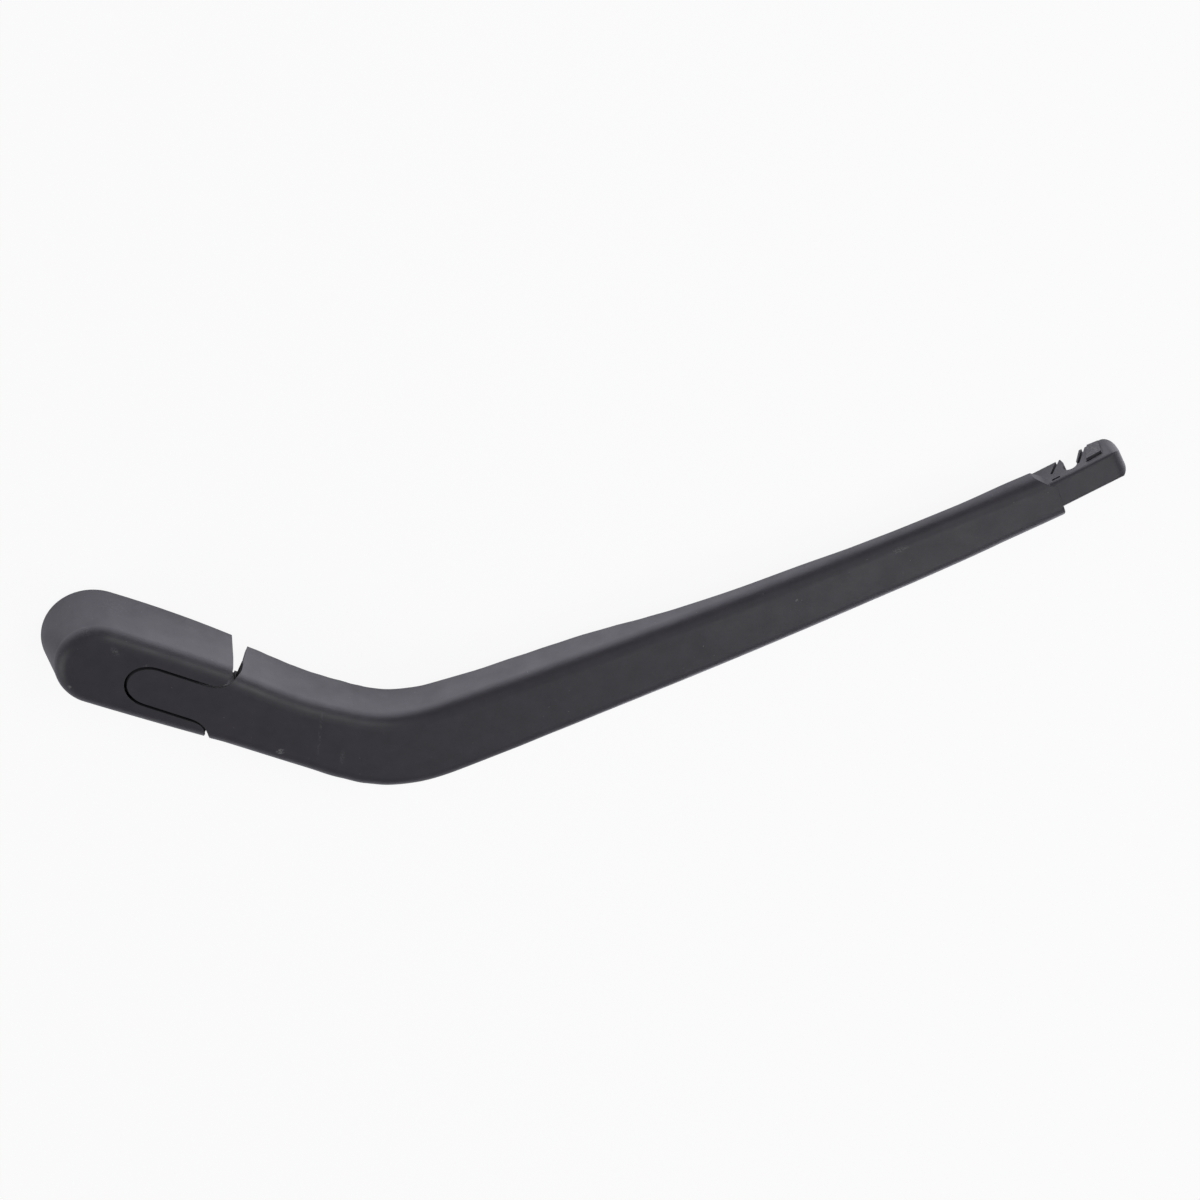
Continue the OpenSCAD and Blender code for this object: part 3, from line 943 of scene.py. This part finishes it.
    def build(self) -> bpy.types.Object:
        """The cover as one mesh.

        Returns:
            The cover, in metres.
        """
        h, x, z, gap = self.hinge, self.nose_x, self.nose_z, self.side_gap
        cover = self.form("flip_cover", 0, self.rim_z, 4)
        cover.meet(Cut.REMOVE, self.form("hollow", self.wall, self.rim_z - 2, 8))
        cover.meet(Cut.ADD, *self.ears())
        near, inner = self.nose_half + gap, h.tongue_half + h.seam
        mouth = rect(h.pin_x - 6, h.pin_z, h.pin_x + 24, 33)
        foot = rect(-x - 3.4, -3, -x + 2.6, self.rim_z + 0.2)
        cover.meet(
            Cut.REMOVE,
            h.tongue("tongue_room", h.seam, h.seam),
            Solid.across("mouth", mouth, -inner, inner),
            self.corner(1),
            self.corner(-1),
            self.ends(),
            Solid.rod("nose_room", -x, z, self.nose_r + gap, -near, near),
            Solid.rod("stub_hole", -x, z, self.stub_r + self.run_gap, -6, 6),
            Solid.across("foot", foot, -6, 6),
        )
        return cover.finished()


class Nodes:
    """A node tree with a short way to add nodes to it."""

    def __init__(self, tree: bpy.types.NodeTree) -> None:
        """Takes the tree that the nodes go to."""
        self.tree = tree

    def add(self, kind: str, links: Links | None = None, **settings: object) -> bpy.types.Node:
        """Adds a node.

        Args:
            kind: Blender's name of the node type.
            links: For each input, the output socket or value that feeds it.
            settings: Properties of the node.

        Returns:
            The node.
        """
        node = self.tree.nodes.new(kind)
        for key, value in settings.items():
            setattr(node, key, value)
        for key, value in (links or {}).items():
            if isinstance(value, bpy.types.NodeSocket):
                self.tree.links.new(value, node.inputs[key])
            else:
                node.inputs[key].default_value = value
        return node

    def maths(self, operation: str, a: object, b: object) -> bpy.types.NodeSocket:
        """Result of a sum on two sockets or numbers."""
        return self.add("ShaderNodeMath", {0: a, 1: b}, operation=operation).outputs[0]


class Tree(Nodes):
    """A Geometry Nodes tree with named inputs."""

    def __init__(self, name: str, inputs: Inputs) -> None:
        """Makes the tree with its inputs and its one output.

        Args:
            name: Name of the tree.
            inputs: Default of each named input; whole numbers make whole-number sockets.
        """
        super().__init__(bpy.data.node_groups.new(name, "GeometryNodeTree"))
        face = self.tree.interface
        face.new_socket(name="Geometry", in_out="OUTPUT", socket_type="NodeSocketGeometry")
        self.names: dict[str, str] = {}
        for label, value in inputs.items():
            kind = "NodeSocketInt" if isinstance(value, int) else "NodeSocketFloat"
            item = face.new_socket(name=label, in_out="INPUT", socket_type=kind)
            item.default_value = value
            self.names[label] = item.identifier
        self.source = self.tree.nodes.new("NodeGroupInput")
        self.result = self.tree.nodes.new("NodeGroupOutput")

    def close(self, geometry: bpy.types.NodeSocket, material: bpy.types.Material) -> None:
        """Ends the tree in Realize Instances and Set Material.

        Args:
            geometry: What the tree has made.
            material: Material of all of it.
        """
        real = self.add("GeometryNodeRealizeInstances", {"Geometry": geometry})
        dress = self.add("GeometryNodeSetMaterial", {"Geometry": real.outputs[0], "Material": material})
        self.tree.links.new(dress.outputs[0], self.result.inputs[0])

    def grow(self, name: str, values: Inputs) -> bpy.types.Object:
        """Runs the tree once and keeps its plain mesh.

        Args:
            name: Name of the object.
            values: Value of each named input.

        Returns:
            An object that holds the mesh, with no modifier left.
        """
        thing = placed(name, bpy.data.meshes.new(name))
        step = thing.modifiers.new("grow", "NODES")
        step.node_group = self.tree
        for label, value in values.items():
            step[self.names[label]] = value
        bake(thing)
        return thing


@dataclass
class CoilSpring:
    """Tension spring between the hook and the arm's spring pin, in millimetres."""

    places: SpringSizes
    wire_d: float = 1.5
    turns: int = 16
    hook_reach: float = 15.6
    hook_loop: float = 2.2
    loop_gap: float = 0.1
    loop_stretch: Flat = (1.53, 1.17)
    loop_sweep: float = 330.0
    curve_steps: int = 28
    wire_steps: int = 12

    @property
    def span(self) -> float:
        """Distance between the two pins."""
        at = self.places
        return math.hypot(at.catch_x - at.anchor_x, at.catch_z - at.anchor_z)

    def sizes(self) -> Inputs:
        """Value of each of the tree's inputs, in metres.

        Returns:
            The values by name.
        """
        pin_loop = self.places.catch_r + self.wire_d / 2 + self.loop_gap
        start = self.hook_reach + 2 * self.hook_loop
        return {
            "Turns": self.turns,
            "Coil Radius": (self.places.coil_r - self.wire_d / 2) * MM,
            "Wire Radius": self.wire_d / 2 * MM,
            "Start": start * MM,
            "Coil Length": (self.span - pin_loop - start) * MM,
            "Hook Loop": self.hook_loop * MM,
            "Pin Loop": pin_loop * MM,
            "Span": (self.span + (self.loop_stretch[0] - 1) * pin_loop) * MM,
        }

    def loop(self, tree: Tree, radius: str, start: float) -> bpy.types.Node:
        """Open loop of wire in plan.

        Args:
            tree: Tree that it is added to.
            radius: Name of the input that gives its radius.
            start: Angle at which it starts, in degrees.

        Returns:
            The node.
        """
        return tree.add("GeometryNodeCurveArc", {
            "Resolution": self.curve_steps, "Radius": tree.source.outputs[radius],
            "Start Angle": math.radians(start), "Sweep Angle": math.radians(self.loop_sweep)},
            mode="RADIUS")

    def put(self, tree: Tree, curve: bpy.types.Node, x: bpy.types.NodeSocket, turn: Point = (0, 0, 0),
            scale: Point = (1, 1, 1)) -> bpy.types.NodeSocket:
        """Curve moved along X, turned and scaled.

        Args:
            tree: Tree that it is added to.
            curve: Node that makes the curve.
            x: Distance from the anchor pin.
            turn: Turn about each axis, in radians.
            scale: Scale along each axis.

        Returns:
            The curve in its place.
        """
        away = tree.add("ShaderNodeCombineXYZ", {"X": x})
        return tree.add("GeometryNodeTransform", {
            "Geometry": curve.outputs[0], "Rotation": turn, "Translation": away.outputs[0],
            "Scale": scale}).outputs[0]

    def build(self, material: bpy.types.Material) -> bpy.types.Object:
        """The coil and its two end loops as one mesh.

        Args:
            material: Material of the wire.

        Returns:
            The spring, in metres.
        """
        sizes, quarter = self.sizes(), math.pi / 2
        tree = Tree("coil_spring", sizes)
        given = tree.source.outputs
        spiral = tree.add("GeometryNodeCurveSpiral", {
            "Resolution": self.curve_steps, "Rotations": given["Turns"], "Height": given["Coil Length"],
            "Start Radius": given["Coil Radius"], "End Radius": given["Coil Radius"]})
        middle = tree.maths("SUBTRACT", given["Start"], given["Hook Loop"])
        parts = (
            self.put(tree, spiral, given["Start"], (0, quarter, 0)),
            self.put(tree, self.loop(tree, "Hook Loop", 20), middle),
            self.put(tree, self.loop(tree, "Pin Loop", -160), given["Span"], (quarter, 0, 0),
                     (*self.loop_stretch, 1.0)),
        )
        lines = tree.add("GeometryNodeJoinGeometry")
        for part in parts:
            tree.tree.links.new(part, lines.inputs[0])
        outline = tree.add("GeometryNodeCurvePrimitiveCircle", {
            "Resolution": self.wire_steps, "Radius": given["Wire Radius"]}, mode="RADIUS")
        wire = tree.add("GeometryNodeCurveToMesh", {
            "Curve": lines.outputs[0], "Profile Curve": outline.outputs[0], "Fill Caps": True})
        smooth = tree.add("GeometryNodeSetShadeSmooth", {"Geometry": wire.outputs[0]})
        tree.close(smooth.outputs[0], material)
        spring = tree.grow("coil_spring", sizes)
        at = self.places
        pitch = math.atan2(at.catch_z - at.anchor_z, at.catch_x - at.anchor_x)
        away = Matrix.Translation(Vector((at.anchor_x, 0, at.anchor_z)) * MM)
        spring.data.transform(away @ Matrix.Rotation(-pitch, 4, "Y"))
        return spring


@dataclass
class ChannelRibs:
    """Cross ribs under the arm, from the bend to the tip, in millimetres."""

    line: ArmLine
    room: Solid
    count: int = 9
    thick: float = 1.5
    past_root: float = 16.0
    before_tip: float = 40.0
    top_gap: float = 0.6
    foot_gap: float = 1.4
    side_past: float = 4.0

    def path(self) -> bpy.types.Object:
        """Points at the middles of the ribs, which carry each rib's height, width and turn.

        Returns:
            The object that holds the points, in metres.
        """
        line, rows = self.line, []
        first, last = line.seg_len + self.past_root, line.shoulder_s - self.before_tip
        for i in range(self.count):
            s = mix(first, last, i / (self.count - 1))
            x, y = line.spine(s)
            top, low = line.face_z(s) - self.top_gap, line.face_z(s) - line.depth(s) + self.foot_gap
            wide = 2 * line.half_w(s) + self.side_past
            rows.append((x, y, (top + low) / 2, top - low, wide, line.heading(s)))
        mesh = bpy.data.meshes.new("rib_line")
        mesh.from_pydata([Vector(r[:3]) * MM for r in rows], [], [])
        for label, column, scale in (("tall", 3, MM), ("wide", 4, MM), ("turn", 5, math.pi / 180)):
            layer = mesh.attributes.new(label, "FLOAT", "POINT")
            layer.data.foreach_set("value", [r[column] * scale for r in rows])
        return placed("rib_line", mesh)

    def build(self, material: bpy.types.Material) -> bpy.types.Object:
        """The row of ribs as one mesh.

        Args:
            material: Material of the ribs.

        Returns:
            The ribs, in metres.
        """
        path, sizes = self.path(), {"Thickness": self.thick * MM}
        tree = Tree("channel_ribs", sizes)
        points = tree.add("GeometryNodeObjectInfo", {"Object": path})
        read = {}
        for label in ("tall", "wide", "turn"):
            node = tree.add("GeometryNodeInputNamedAttribute", {"Name": label}, data_type="FLOAT")
            read[label] = node.outputs[0]
        size = tree.add("ShaderNodeCombineXYZ", {
            "X": tree.source.outputs["Thickness"], "Y": read["wide"], "Z": read["tall"]})
        way = tree.add("ShaderNodeCombineXYZ", {"Z": read["turn"]})
        block = tree.add("GeometryNodeMeshCube", {"Size": (1, 1, 1)})
        row = tree.add("GeometryNodeInstanceOnPoints", {
            "Points": points.outputs["Geometry"], "Instance": block.outputs[0],
            "Rotation": way.outputs[0], "Scale": size.outputs[0]})
        tree.close(row.outputs[0], material)
        ribs = Solid.adopt(tree.grow("channel_ribs", sizes))
        bpy.data.objects.remove(path)
        ribs.meet(Cut.KEEP, self.room)
        return ribs.finished()


def emptied(owner: bpy.types.Material | bpy.types.World) -> bpy.types.NodeTree:
    """The node tree of a new material or world, with its default nodes taken out.

    Args:
        owner: The material or world.

    Returns:
        The tree.
    """
    owner.use_nodes = True
    owner.node_tree.nodes.clear()
    return owner.node_tree


class Graph(Nodes):
    """Node graph of one material."""

    def __init__(self, name: str) -> None:
        """Starts a material with a Principled shader."""
        self.material = bpy.data.materials.new(name)
        super().__init__(emptied(self.material))
        self.out = self.tree.nodes.new("ShaderNodeOutputMaterial")
        self.shader = self.tree.nodes.new("ShaderNodeBsdfPrincipled")
        self.tree.links.new(self.shader.outputs[0], self.out.inputs[0])
        self.place = self.tree.nodes.new("ShaderNodeTexCoord").outputs["Object"]

    def noise(self, size: float, detail: float = 2.0, rough: float = 0.5,
              stretch: Point = (1, 1, 1)) -> bpy.types.NodeSocket:
        """Noise in object space.

        Args:
            size: Rough size of a blotch, in millimetres.
            detail: Octaves of finer noise.
            rough: Strength of the finer octaves.
            stretch: Scale along each axis.

        Returns:
            The noise from 0 to 1.
        """
        spread = self.add("ShaderNodeMapping", {"Vector": self.place, "Scale": stretch})
        node = self.add("ShaderNodeTexNoise", {
            "Vector": spread.outputs[0], "Scale": 1 / (size * MM), "Detail": detail, "Roughness": rough})
        return node.outputs["Fac"]

    def ramp(self, value: bpy.types.NodeSocket, low: float, high: float, a: float,
             b: float) -> bpy.types.NodeSocket:
        """Value mapped to another range and held at its ends.

        Args:
            value: The value.
            low: Value that gives a.
            high: Value that gives b.
            a: Result at and below low.
            b: Result at and above high.

        Returns:
            The mapped value.
        """
        return self.add("ShaderNodeMapRange", {
            "Value": value, "From Min": low, "From Max": high, "To Min": a, "To Max": b},
            clamp=True).outputs[0]

    def spot(self, at: Point, reach: Point, turn: float = 0.0) -> bpy.types.NodeSocket:
        """Soft patch round a point, 1 at its middle and 0 past its reach.

        Args:
            at: Middle of the patch, in millimetres.
            reach: Half size of the patch along each axis, in millimetres.
            turn: Turn of the patch about Z, in degrees.

        Returns:
            The patch as a value from 0 to 1.
        """
        seat = self.add("ShaderNodeMapping", {
            "Vector": self.place, "Location": Vector(at) * MM, "Rotation": (0, 0, math.radians(turn)),
            "Scale": Vector(reach) * MM}, vector_type="TEXTURE")
        far = self.add("ShaderNodeVectorMath", {0: seat.outputs[0]}, operation="LENGTH").outputs["Value"]
        return self.ramp(far, 0.35, 1.0, 1.0, 0.0)


@dataclass(frozen=True)
class WearAndSheenMark:
    """One lighter mark on the plastic, in millimetres: a mark of wear, and on the arm's claw wedge a
    painted highlight.
    """

    at: Point
    reach: Point
    turn: float = 0.0
    strength: float = 0.5
    grit: float = 0.6


@dataclass(frozen=True)
class PlasticFinish:
    """Satin moulded plastic with a fine grain, light wear and, among its marks, any painted highlight."""

    name: str
    colour: Point
    roughness: float
    grain: float = 0.28
    grain_height: float = 0.03
    edge: float = 0.15
    # colour of the wear marks and of the painted highlight
    wear_and_sheen_colour: Point = (0.3, 0.3, 0.3)
    wear_and_sheen_marks: tuple[WearAndSheenMark, ...] = ()

    def make(self) -> bpy.types.Material:
        """Makes the material.

        Returns:
            The material.
        """
        g = Graph(self.name)
        mottle = g.ramp(g.noise(5.0, 3.0, 0.6), 0.3, 0.7, 0.9, 1.12)
        base = g.add("ShaderNodeVectorMath", {0: self.colour, "Scale": mottle}, operation="SCALE")
        marks = g.ramp(g.noise(0.9, 1.0, 0.4), 0.785, 0.82, 0.0, 0.25)
        # each mark lightens the colour: marks of wear, and on the arm's wedge a painted highlight
        for wear_and_sheen_mark in self.wear_and_sheen_marks:
            patch = g.spot(wear_and_sheen_mark.at, wear_and_sheen_mark.reach, wear_and_sheen_mark.turn)
            grit = g.ramp(g.noise(wear_and_sheen_mark.grit, 3.0, 0.65), 0.46, 0.62, 0.0, wear_and_sheen_mark.strength)
            marks = g.maths("MAXIMUM", marks, g.maths("MULTIPLY", patch, grit))
        worn_and_sheen = g.add("ShaderNodeMix", {
            0: marks, 6: base.outputs[0], 7: (*self.wear_and_sheen_colour, 1)}, data_type="RGBA")
        g.tree.links.new(worn_and_sheen.outputs[2], g.shader.inputs["Base Color"])
        spread = g.ramp(g.noise(9.0, 3.0, 0.55), 0.3, 0.7, self.roughness - 0.04, self.roughness + 0.05)
        g.tree.links.new(spread, g.shader.inputs["Roughness"])
        rounded = g.add("ShaderNodeBevel", {"Radius": self.edge * MM}, samples=6)
        fine = g.noise(self.grain, 2.0, 0.6)
        bump = g.add("ShaderNodeBump", {
            "Strength": 0.5, "Distance": self.grain_height * MM, "Height": fine,
            "Normal": rounded.outputs[0]})
        g.tree.links.new(bump.outputs[0], g.shader.inputs["Normal"])
        g.shader.inputs["IOR"].default_value = 1.5
        return g.material


@dataclass(frozen=True)
class MetalFinish:
    """Metal with fine streaks or cast grain."""

    name: str
    colour: Point
    roughness: float
    grain: float = 0.5
    grain_height: float = 0.01
    stretch: Point = (1, 1, 1)
    tarnish: float = 0.15

    def make(self) -> bpy.types.Material:
        """Makes the material.

        Returns:
            The material.
        """
        g = Graph(self.name)
        fine = g.noise(self.grain, 2.0, 0.6, self.stretch)
        dull = g.ramp(g.noise(4.0, 3.0, 0.6), 0.3, 0.7, 1 - self.tarnish, 1.0)
        base = g.add("ShaderNodeVectorMath", {0: self.colour, "Scale": dull}, operation="SCALE")
        g.tree.links.new(base.outputs[0], g.shader.inputs["Base Color"])
        g.tree.links.new(g.ramp(fine, 0.3, 0.7, self.roughness - 0.06, self.roughness + 0.08),
                         g.shader.inputs["Roughness"])
        bump = g.add("ShaderNodeBump", {
            "Strength": 0.4, "Distance": self.grain_height * MM, "Height": fine})
        g.tree.links.new(bump.outputs[0], g.shader.inputs["Normal"])
        g.shader.inputs["Metallic"].default_value = 1.0
        return g.material


@dataclass(frozen=True)
class NylonFinish:
    """Natural nylon of the bushes."""

    name: str = "natural_nylon"
    colour: Point = (0.8, 0.78, 0.7)
    roughness: float = 0.45

    def make(self) -> bpy.types.Material:
        """Makes the material.

        Returns:
            The material.
        """
        g = Graph(self.name)
        tone = g.ramp(g.noise(2.0), 0.3, 0.7, 0.94, 1.0)
        base = g.add("ShaderNodeVectorMath", {0: self.colour, "Scale": tone}, operation="SCALE")
        g.tree.links.new(base.outputs[0], g.shader.inputs["Base Color"])
        g.shader.inputs["Roughness"].default_value = self.roughness
        return g.material


COVER_SCUFFS = (
    WearAndSheenMark((3.7, 7.6, 21.5), (2.4, 1.3, 1.6), -40, 0.35, 0.5),
    WearAndSheenMark((-4.3, -8.2, 21.0), (0.9, 0.9, 1.4), 0, 0.8, 0.5),
    WearAndSheenMark((13.8, 6.3, 22.0), (1.3, 0.6, 1.0), 20, 0.2, 0.4),
    WearAndSheenMark((-6.0, 9.5, 19.5), (2.4, 2.0, 2.4), -40, 0.12, 0.5),
    WearAndSheenMark((1.0, 14.4, 8.0), (7.0, 2.0, 5.0), 0, 0.06, 0.7),
)
# marks of wear on the arm; the last one is a painted highlight
ARM_WEAR_AND_SHEEN = (
    WearAndSheenMark((61.7, -7.3, 21.0), (1.7, 1.3, 1.6), 30, 1.0, 0.5),
    WearAndSheenMark((68.0, 12.4, 13.0), (0.5, 1.2, 6.0), 0, 0.25, 0.3),
    WearAndSheenMark((70.3, 3.0, 21.3), (0.6, 11.0, 1.4), 17.6, 0.16, 0.7),
    WearAndSheenMark((80.0, -3.1, 20.6), (1.2, 3.6, 1.4), 17.6, 0.28, 0.35),
    WearAndSheenMark((99.1, 8.5, 19.6), (2.2, 1.2, 1.2), 30, 0.2, 0.35),
    WearAndSheenMark((189.3, 92.6, 16.6), (0.8, 0.6, 1.2), 42, 0.6, 0.3),
    WearAndSheenMark((211.9, 118.7, 15.6), (3.4, 1.3, 1.5), 42, 0.22, 0.5),
    # painted highlight: a lighter patch on the claw's wedge that stands in for the light its facet catches
    WearAndSheenMark((255.7, 167.4, 6.8), (4.4, 0.8, 5.2), 51, 0.3, 1.2),
)


@dataclass
class Finishes:
    """Materials of every slot."""

    black: Point = (0.036, 0.0335, 0.041)
    satin: float = 0.5
    made: dict[Slot, bpy.types.Material] = field(default_factory=dict)

    def __post_init__(self) -> None:
        """Makes the materials that the CAD nodes and pieces share."""
        cover = PlasticFinish("cover_plastic", self.black, self.satin, wear_and_sheen_marks=COVER_SCUFFS)
        arm = PlasticFinish("arm_plastic", self.black, self.satin, wear_and_sheen_marks=ARM_WEAR_AND_SHEEN)
        self.cover_plastic = cover.make()
        self.made = {
            Slot.PLASTIC: arm.make(),
            Slot.ALLOY: MetalFinish("cast_alloy", (0.6, 0.61, 0.63), 0.5, 0.7, 0.03).make(),
            Slot.PIN: MetalFinish("zinc_plate", (0.66, 0.66, 0.68), 0.3, 0.3, 0.004, (1, 0.1, 1)).make(),
            Slot.HOOK: MetalFinish("stamped_plate", (0.55, 0.55, 0.57), 0.34, 0.4, 0.006).make(),
            Slot.SPRING: MetalFinish("phosphated_wire", (0.42, 0.43, 0.46), 0.38, 0.3, 0.004).make(),
            Slot.NYLON: NylonFinish().make(),
        }

    def dress(self, thing: bpy.types.Object, slot: Slot,
              material: bpy.types.Material | None = None) -> None:
        """Gives an object the one material of its slot.

        Args:
            thing: The object.
            slot: Its slot.
            material: Material that stands in for the slot's own, if any.
        """
        thing.data.materials.clear()
        thing.data.materials.append(material or self.made[slot])


@dataclass(frozen=True)
class PaintedFade:
    """Painted change of the floor's glow along one axis, which the part reflects, from low at start to high
    at stop, in metres.
    """

    axis: str
    start: float
    stop: float
    low: float
    high: float


@dataclass(frozen=True)
class Lamp:
    """Square soft lamp, in metres and watts."""

    name: str
    at: Point
    toward: Point
    size: float
    power: float


@dataclass
class Studio:
    """Floor, lamps, world and camera."""

    eye: Point = (-145.741, 405.556, 805.246)
    right: Point = (0.898228, 0.416353, 0.140843)
    up: Point = (-0.312306, 0.830055, -0.462033)
    back: Point = (-0.309277, 0.371024, 0.875608)
    lens: float = 90.2952
    sensor: float = 36.0
    clip: Flat = (0.05, 20.0)
    floor_half: float = 3.0
    floor_z: float = -0.4
    floor_grey: float = 0.82
    world_level: float = 0.19
    world_colour: Point = (0.92, 0.92, 1.0)
    shown_share: float = 0.92
    shade_reach: float = 0.05
    # painted fades of the floor's glow: brighter toward +Y, dimmer at both ends along X
    painted_fades: tuple[PaintedFade, ...] = (
        PaintedFade("Y", -0.008, 0.018, 1.2, 3.4),
        PaintedFade("X", -0.03, 0.04, 0.75, 1.0),
        PaintedFade("X", 0.12, 0.25, 1.0, 0.72),
    )
    lamps: tuple[Lamp, ...] = (
        Lamp("key", (0.5, 0.85, 1.05), (0.15, 0.06, 0.01), 0.6, 5.5),
        Lamp("fill", (-0.9, -0.9, 0.7), (0.15, 0.06, 0.01), 0.8, 5.6),
        Lamp("sheen", (0.58, -0.06, 0.62), (0.25, 0.16, 0.01), 0.36, 1.1),
    )

    def camera(self) -> None:
        """Camera at the photograph's viewing angle."""
        data = bpy.data.cameras.new("view")
        data.lens, data.sensor_width = self.lens, self.sensor
        data.clip_start, data.clip_end = self.clip
        thing = placed("view", data)
        turn = Matrix((self.right, self.up, self.back)).transposed().to_4x4()
        thing.matrix_world = Matrix.Translation(Vector(self.eye) * MM) @ turn
        bpy.context.scene.camera = thing

    def seen(self, nodes: Nodes) -> bpy.types.NodeSocket:
        """1 for rays from the camera, a mirror or glass, and 0 for the rest.

        Args:
            nodes: Tree that it is added to.

        Returns:
            The value.
        """
        path = nodes.add("ShaderNodeLightPath")
        total = path.outputs["Is Camera Ray"]
        for label in ("Is Glossy Ray", "Is Transmission Ray"):
            total = nodes.maths("MAXIMUM", total, path.outputs[label])
        return total

    def painted_shade(self, nodes: Nodes) -> bpy.types.NodeSocket:
        """Painted level of the floor's glow: painted shade under the part from ambient occlusion, and
        painted fades along the axes.

        Args:
            nodes: Tree that it is added to.

        Returns:
            The level.
        """
        # painted shadow: ambient occlusion dims the floor's glow under and beside the part
        painted_shadow = nodes.add("ShaderNodeAmbientOcclusion", {"Distance": self.shade_reach}, samples=6)
        spot = nodes.add("ShaderNodeTexCoord")
        axes = nodes.add("ShaderNodeSeparateXYZ", {0: spot.outputs["Object"]})
        level = painted_shadow.outputs["AO"]
        for fade in self.painted_fades:
            faded = nodes.add("ShaderNodeMapRange", {
                "Value": axes.outputs[fade.axis], "From Min": fade.start, "From Max": fade.stop,
                "To Min": fade.low, "To Max": fade.high})
            level = nodes.maths("MULTIPLY", level, faded.outputs[0])
        return level

    def glow(self, nodes: Nodes, kind: str, level: object) -> bpy.types.NodeSocket:
        """Glow that is plain white for rays from the camera and tinted for the rest.

        Args:
            nodes: Tree that it is added to.
            kind: Blender's name of the node type that glows.
            level: Its strength for the other rays.

        Returns:
            The glow.
        """
        ray = nodes.add("ShaderNodeLightPath").outputs["Is Camera Ray"]
        tint = nodes.add("ShaderNodeMix", {0: ray, 6: (*self.world_colour, 1), 7: WHITE}, data_type="RGBA")
        strength = nodes.add("ShaderNodeMapRange", {"Value": ray, "To Min": level, "To Max": 1.0})
        return nodes.add(kind, {"Color": tint.outputs[2], "Strength": strength.outputs[0]}).outputs[0]

    def floor(self) -> None:
        """Plain pale floor that shows white, keeps the shadow and is clear from below; for other rays it
        glows as painted light, with painted shade under the part.
        """
        mesh = bpy.data.meshes.new("floor")
        half, z = self.floor_half, self.floor_z * MM
        edge = [(x, y, z) for x, y in rect(-half, -half, half, half)]
        mesh.from_pydata(edge, [], [(0, 1, 2, 3)])
        thing = placed("floor", mesh)
        material = bpy.data.materials.new("pale_floor")
        nodes = Nodes(emptied(material))
        matte = nodes.add("ShaderNodeBsdfDiffuse", {"Color": (*(self.floor_grey,) * 3, 1)})
        # painted light: for rays other than the camera's the floor glows at the painted shade level
        glow = self.glow(nodes, "ShaderNodeEmission", self.painted_shade(nodes))
        share = nodes.maths("MULTIPLY", self.seen(nodes), self.shown_share)
        blend = nodes.add("ShaderNodeMixShader", {0: share, 1: matte.outputs[0], 2: glow})
        clear = nodes.add("ShaderNodeBsdfTransparent")
        below = nodes.add("ShaderNodeNewGeometry").outputs["Backfacing"]
        sides = nodes.add("ShaderNodeMixShader", {0: below, 1: blend.outputs[0], 2: clear.outputs[0]})
        nodes.add("ShaderNodeOutputMaterial", {0: sides.outputs[0]})
        mesh.materials.append(material)

    def world(self) -> None:
        """World that shows white and lights softly."""
        world = bpy.data.worlds.new("studio")
        bpy.context.scene.world = world
        nodes = Nodes(emptied(world))
        nodes.add("ShaderNodeOutputWorld", {0: self.glow(nodes, "ShaderNodeBackground", self.world_level)})

    def light(self, lamp: Lamp) -> None:
        """Sets up one lamp."""
        data = bpy.data.lights.new(lamp.name, "AREA")
        data.shape, data.size, data.energy = "SQUARE", lamp.size, lamp.power
        thing = placed(lamp.name, data)
        thing.location = lamp.at
        thing.rotation_euler = (Vector(lamp.toward) - Vector(lamp.at)).to_track_quat("-Z", "Y").to_euler()

    def build(self) -> None:
        """The whole studio."""
        bpy.context.scene.view_settings.view_transform = "Standard"
        self.camera()
        self.floor()
        self.world()
        for lamp in self.lamps:
            self.light(lamp)


@dataclass
class WiperArm:
    """All pieces of the wiper arm, dressed and riding on their bodies."""

    line: ArmLine = field(default_factory=ArmLine)
    hinge: HingeSizes = field(default_factory=HingeSizes)
    spring: SpringSizes = field(default_factory=SpringSizes)

    def hold(self, thing: bpy.types.Object, body: str, *nodes: str) -> None:
        """Lets an object ride on a body and stand for the CAD nodes it replaces.

        Args:
            thing: The object.
            body: Body that it rides on.
            nodes: Names of the CAD nodes, if any.
        """
        if nodes:
            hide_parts(*nodes)
        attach(thing, body)
        faces = len(thing.data.polygons)
        log.info("%s on %s: %d faces, for %s", thing.name, body, faces, nodes or "no node")

    def build(self, finishes: Finishes, nodes: dict[str, bpy.types.Object]) -> None:
        """Makes every piece and dresses every CAD node.

        Args:
            finishes: Materials of the slots.
            nodes: CAD nodes by name.
        """
        moulding = ArmShell(self.line, self.hinge, self.spring)
        arm = moulding.build()
        finishes.dress(arm, Slot.PLASTIC)
        self.hold(arm, "arm", "arm_body")
        room = moulding.skin("rib_room", 0.5, self.line.loft_start, self.line.shoulder_s - 4)
        ribs = ChannelRibs(self.line, room).build(finishes.made[Slot.PLASTIC])
        self.hold(ribs, "arm")
        cover = HeadCover(self.line, self.hinge).build()
        finishes.dress(cover, Slot.PLASTIC, finishes.cover_plastic)
        self.hold(cover, "cover", "head_cover")
        spring = CoilSpring(self.spring).build(finishes.made[Slot.SPRING])
        self.hold(spring, "spring", "tension_spring")
        slots = {
            "pivot_head": Slot.ALLOY, "hinge_pin": Slot.PIN, "hinge_bush_left": Slot.NYLON,
            "hinge_bush_right": Slot.NYLON, "spring_anchor_pin": Slot.PIN, "spring_hook": Slot.HOOK,
            "spring_pin": Slot.PIN, "arm_body": Slot.PLASTIC, "head_cover": Slot.PLASTIC,
            "tension_spring": Slot.SPRING,
        }
        for name, slot in slots.items():
            nodes[name].data.materials.clear()
            nodes[name].data.materials.append(finishes.made[slot])
            log.info("%s wears %s", name, slot.value)


def main() -> None:
    logging.basicConfig(level=logging.INFO, format="%(name)s: %(message)s")
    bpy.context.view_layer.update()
    WiperArm().build(Finishes(), frame["nodes"])
    Studio().build()


if __name__ == "__main__":
    main()
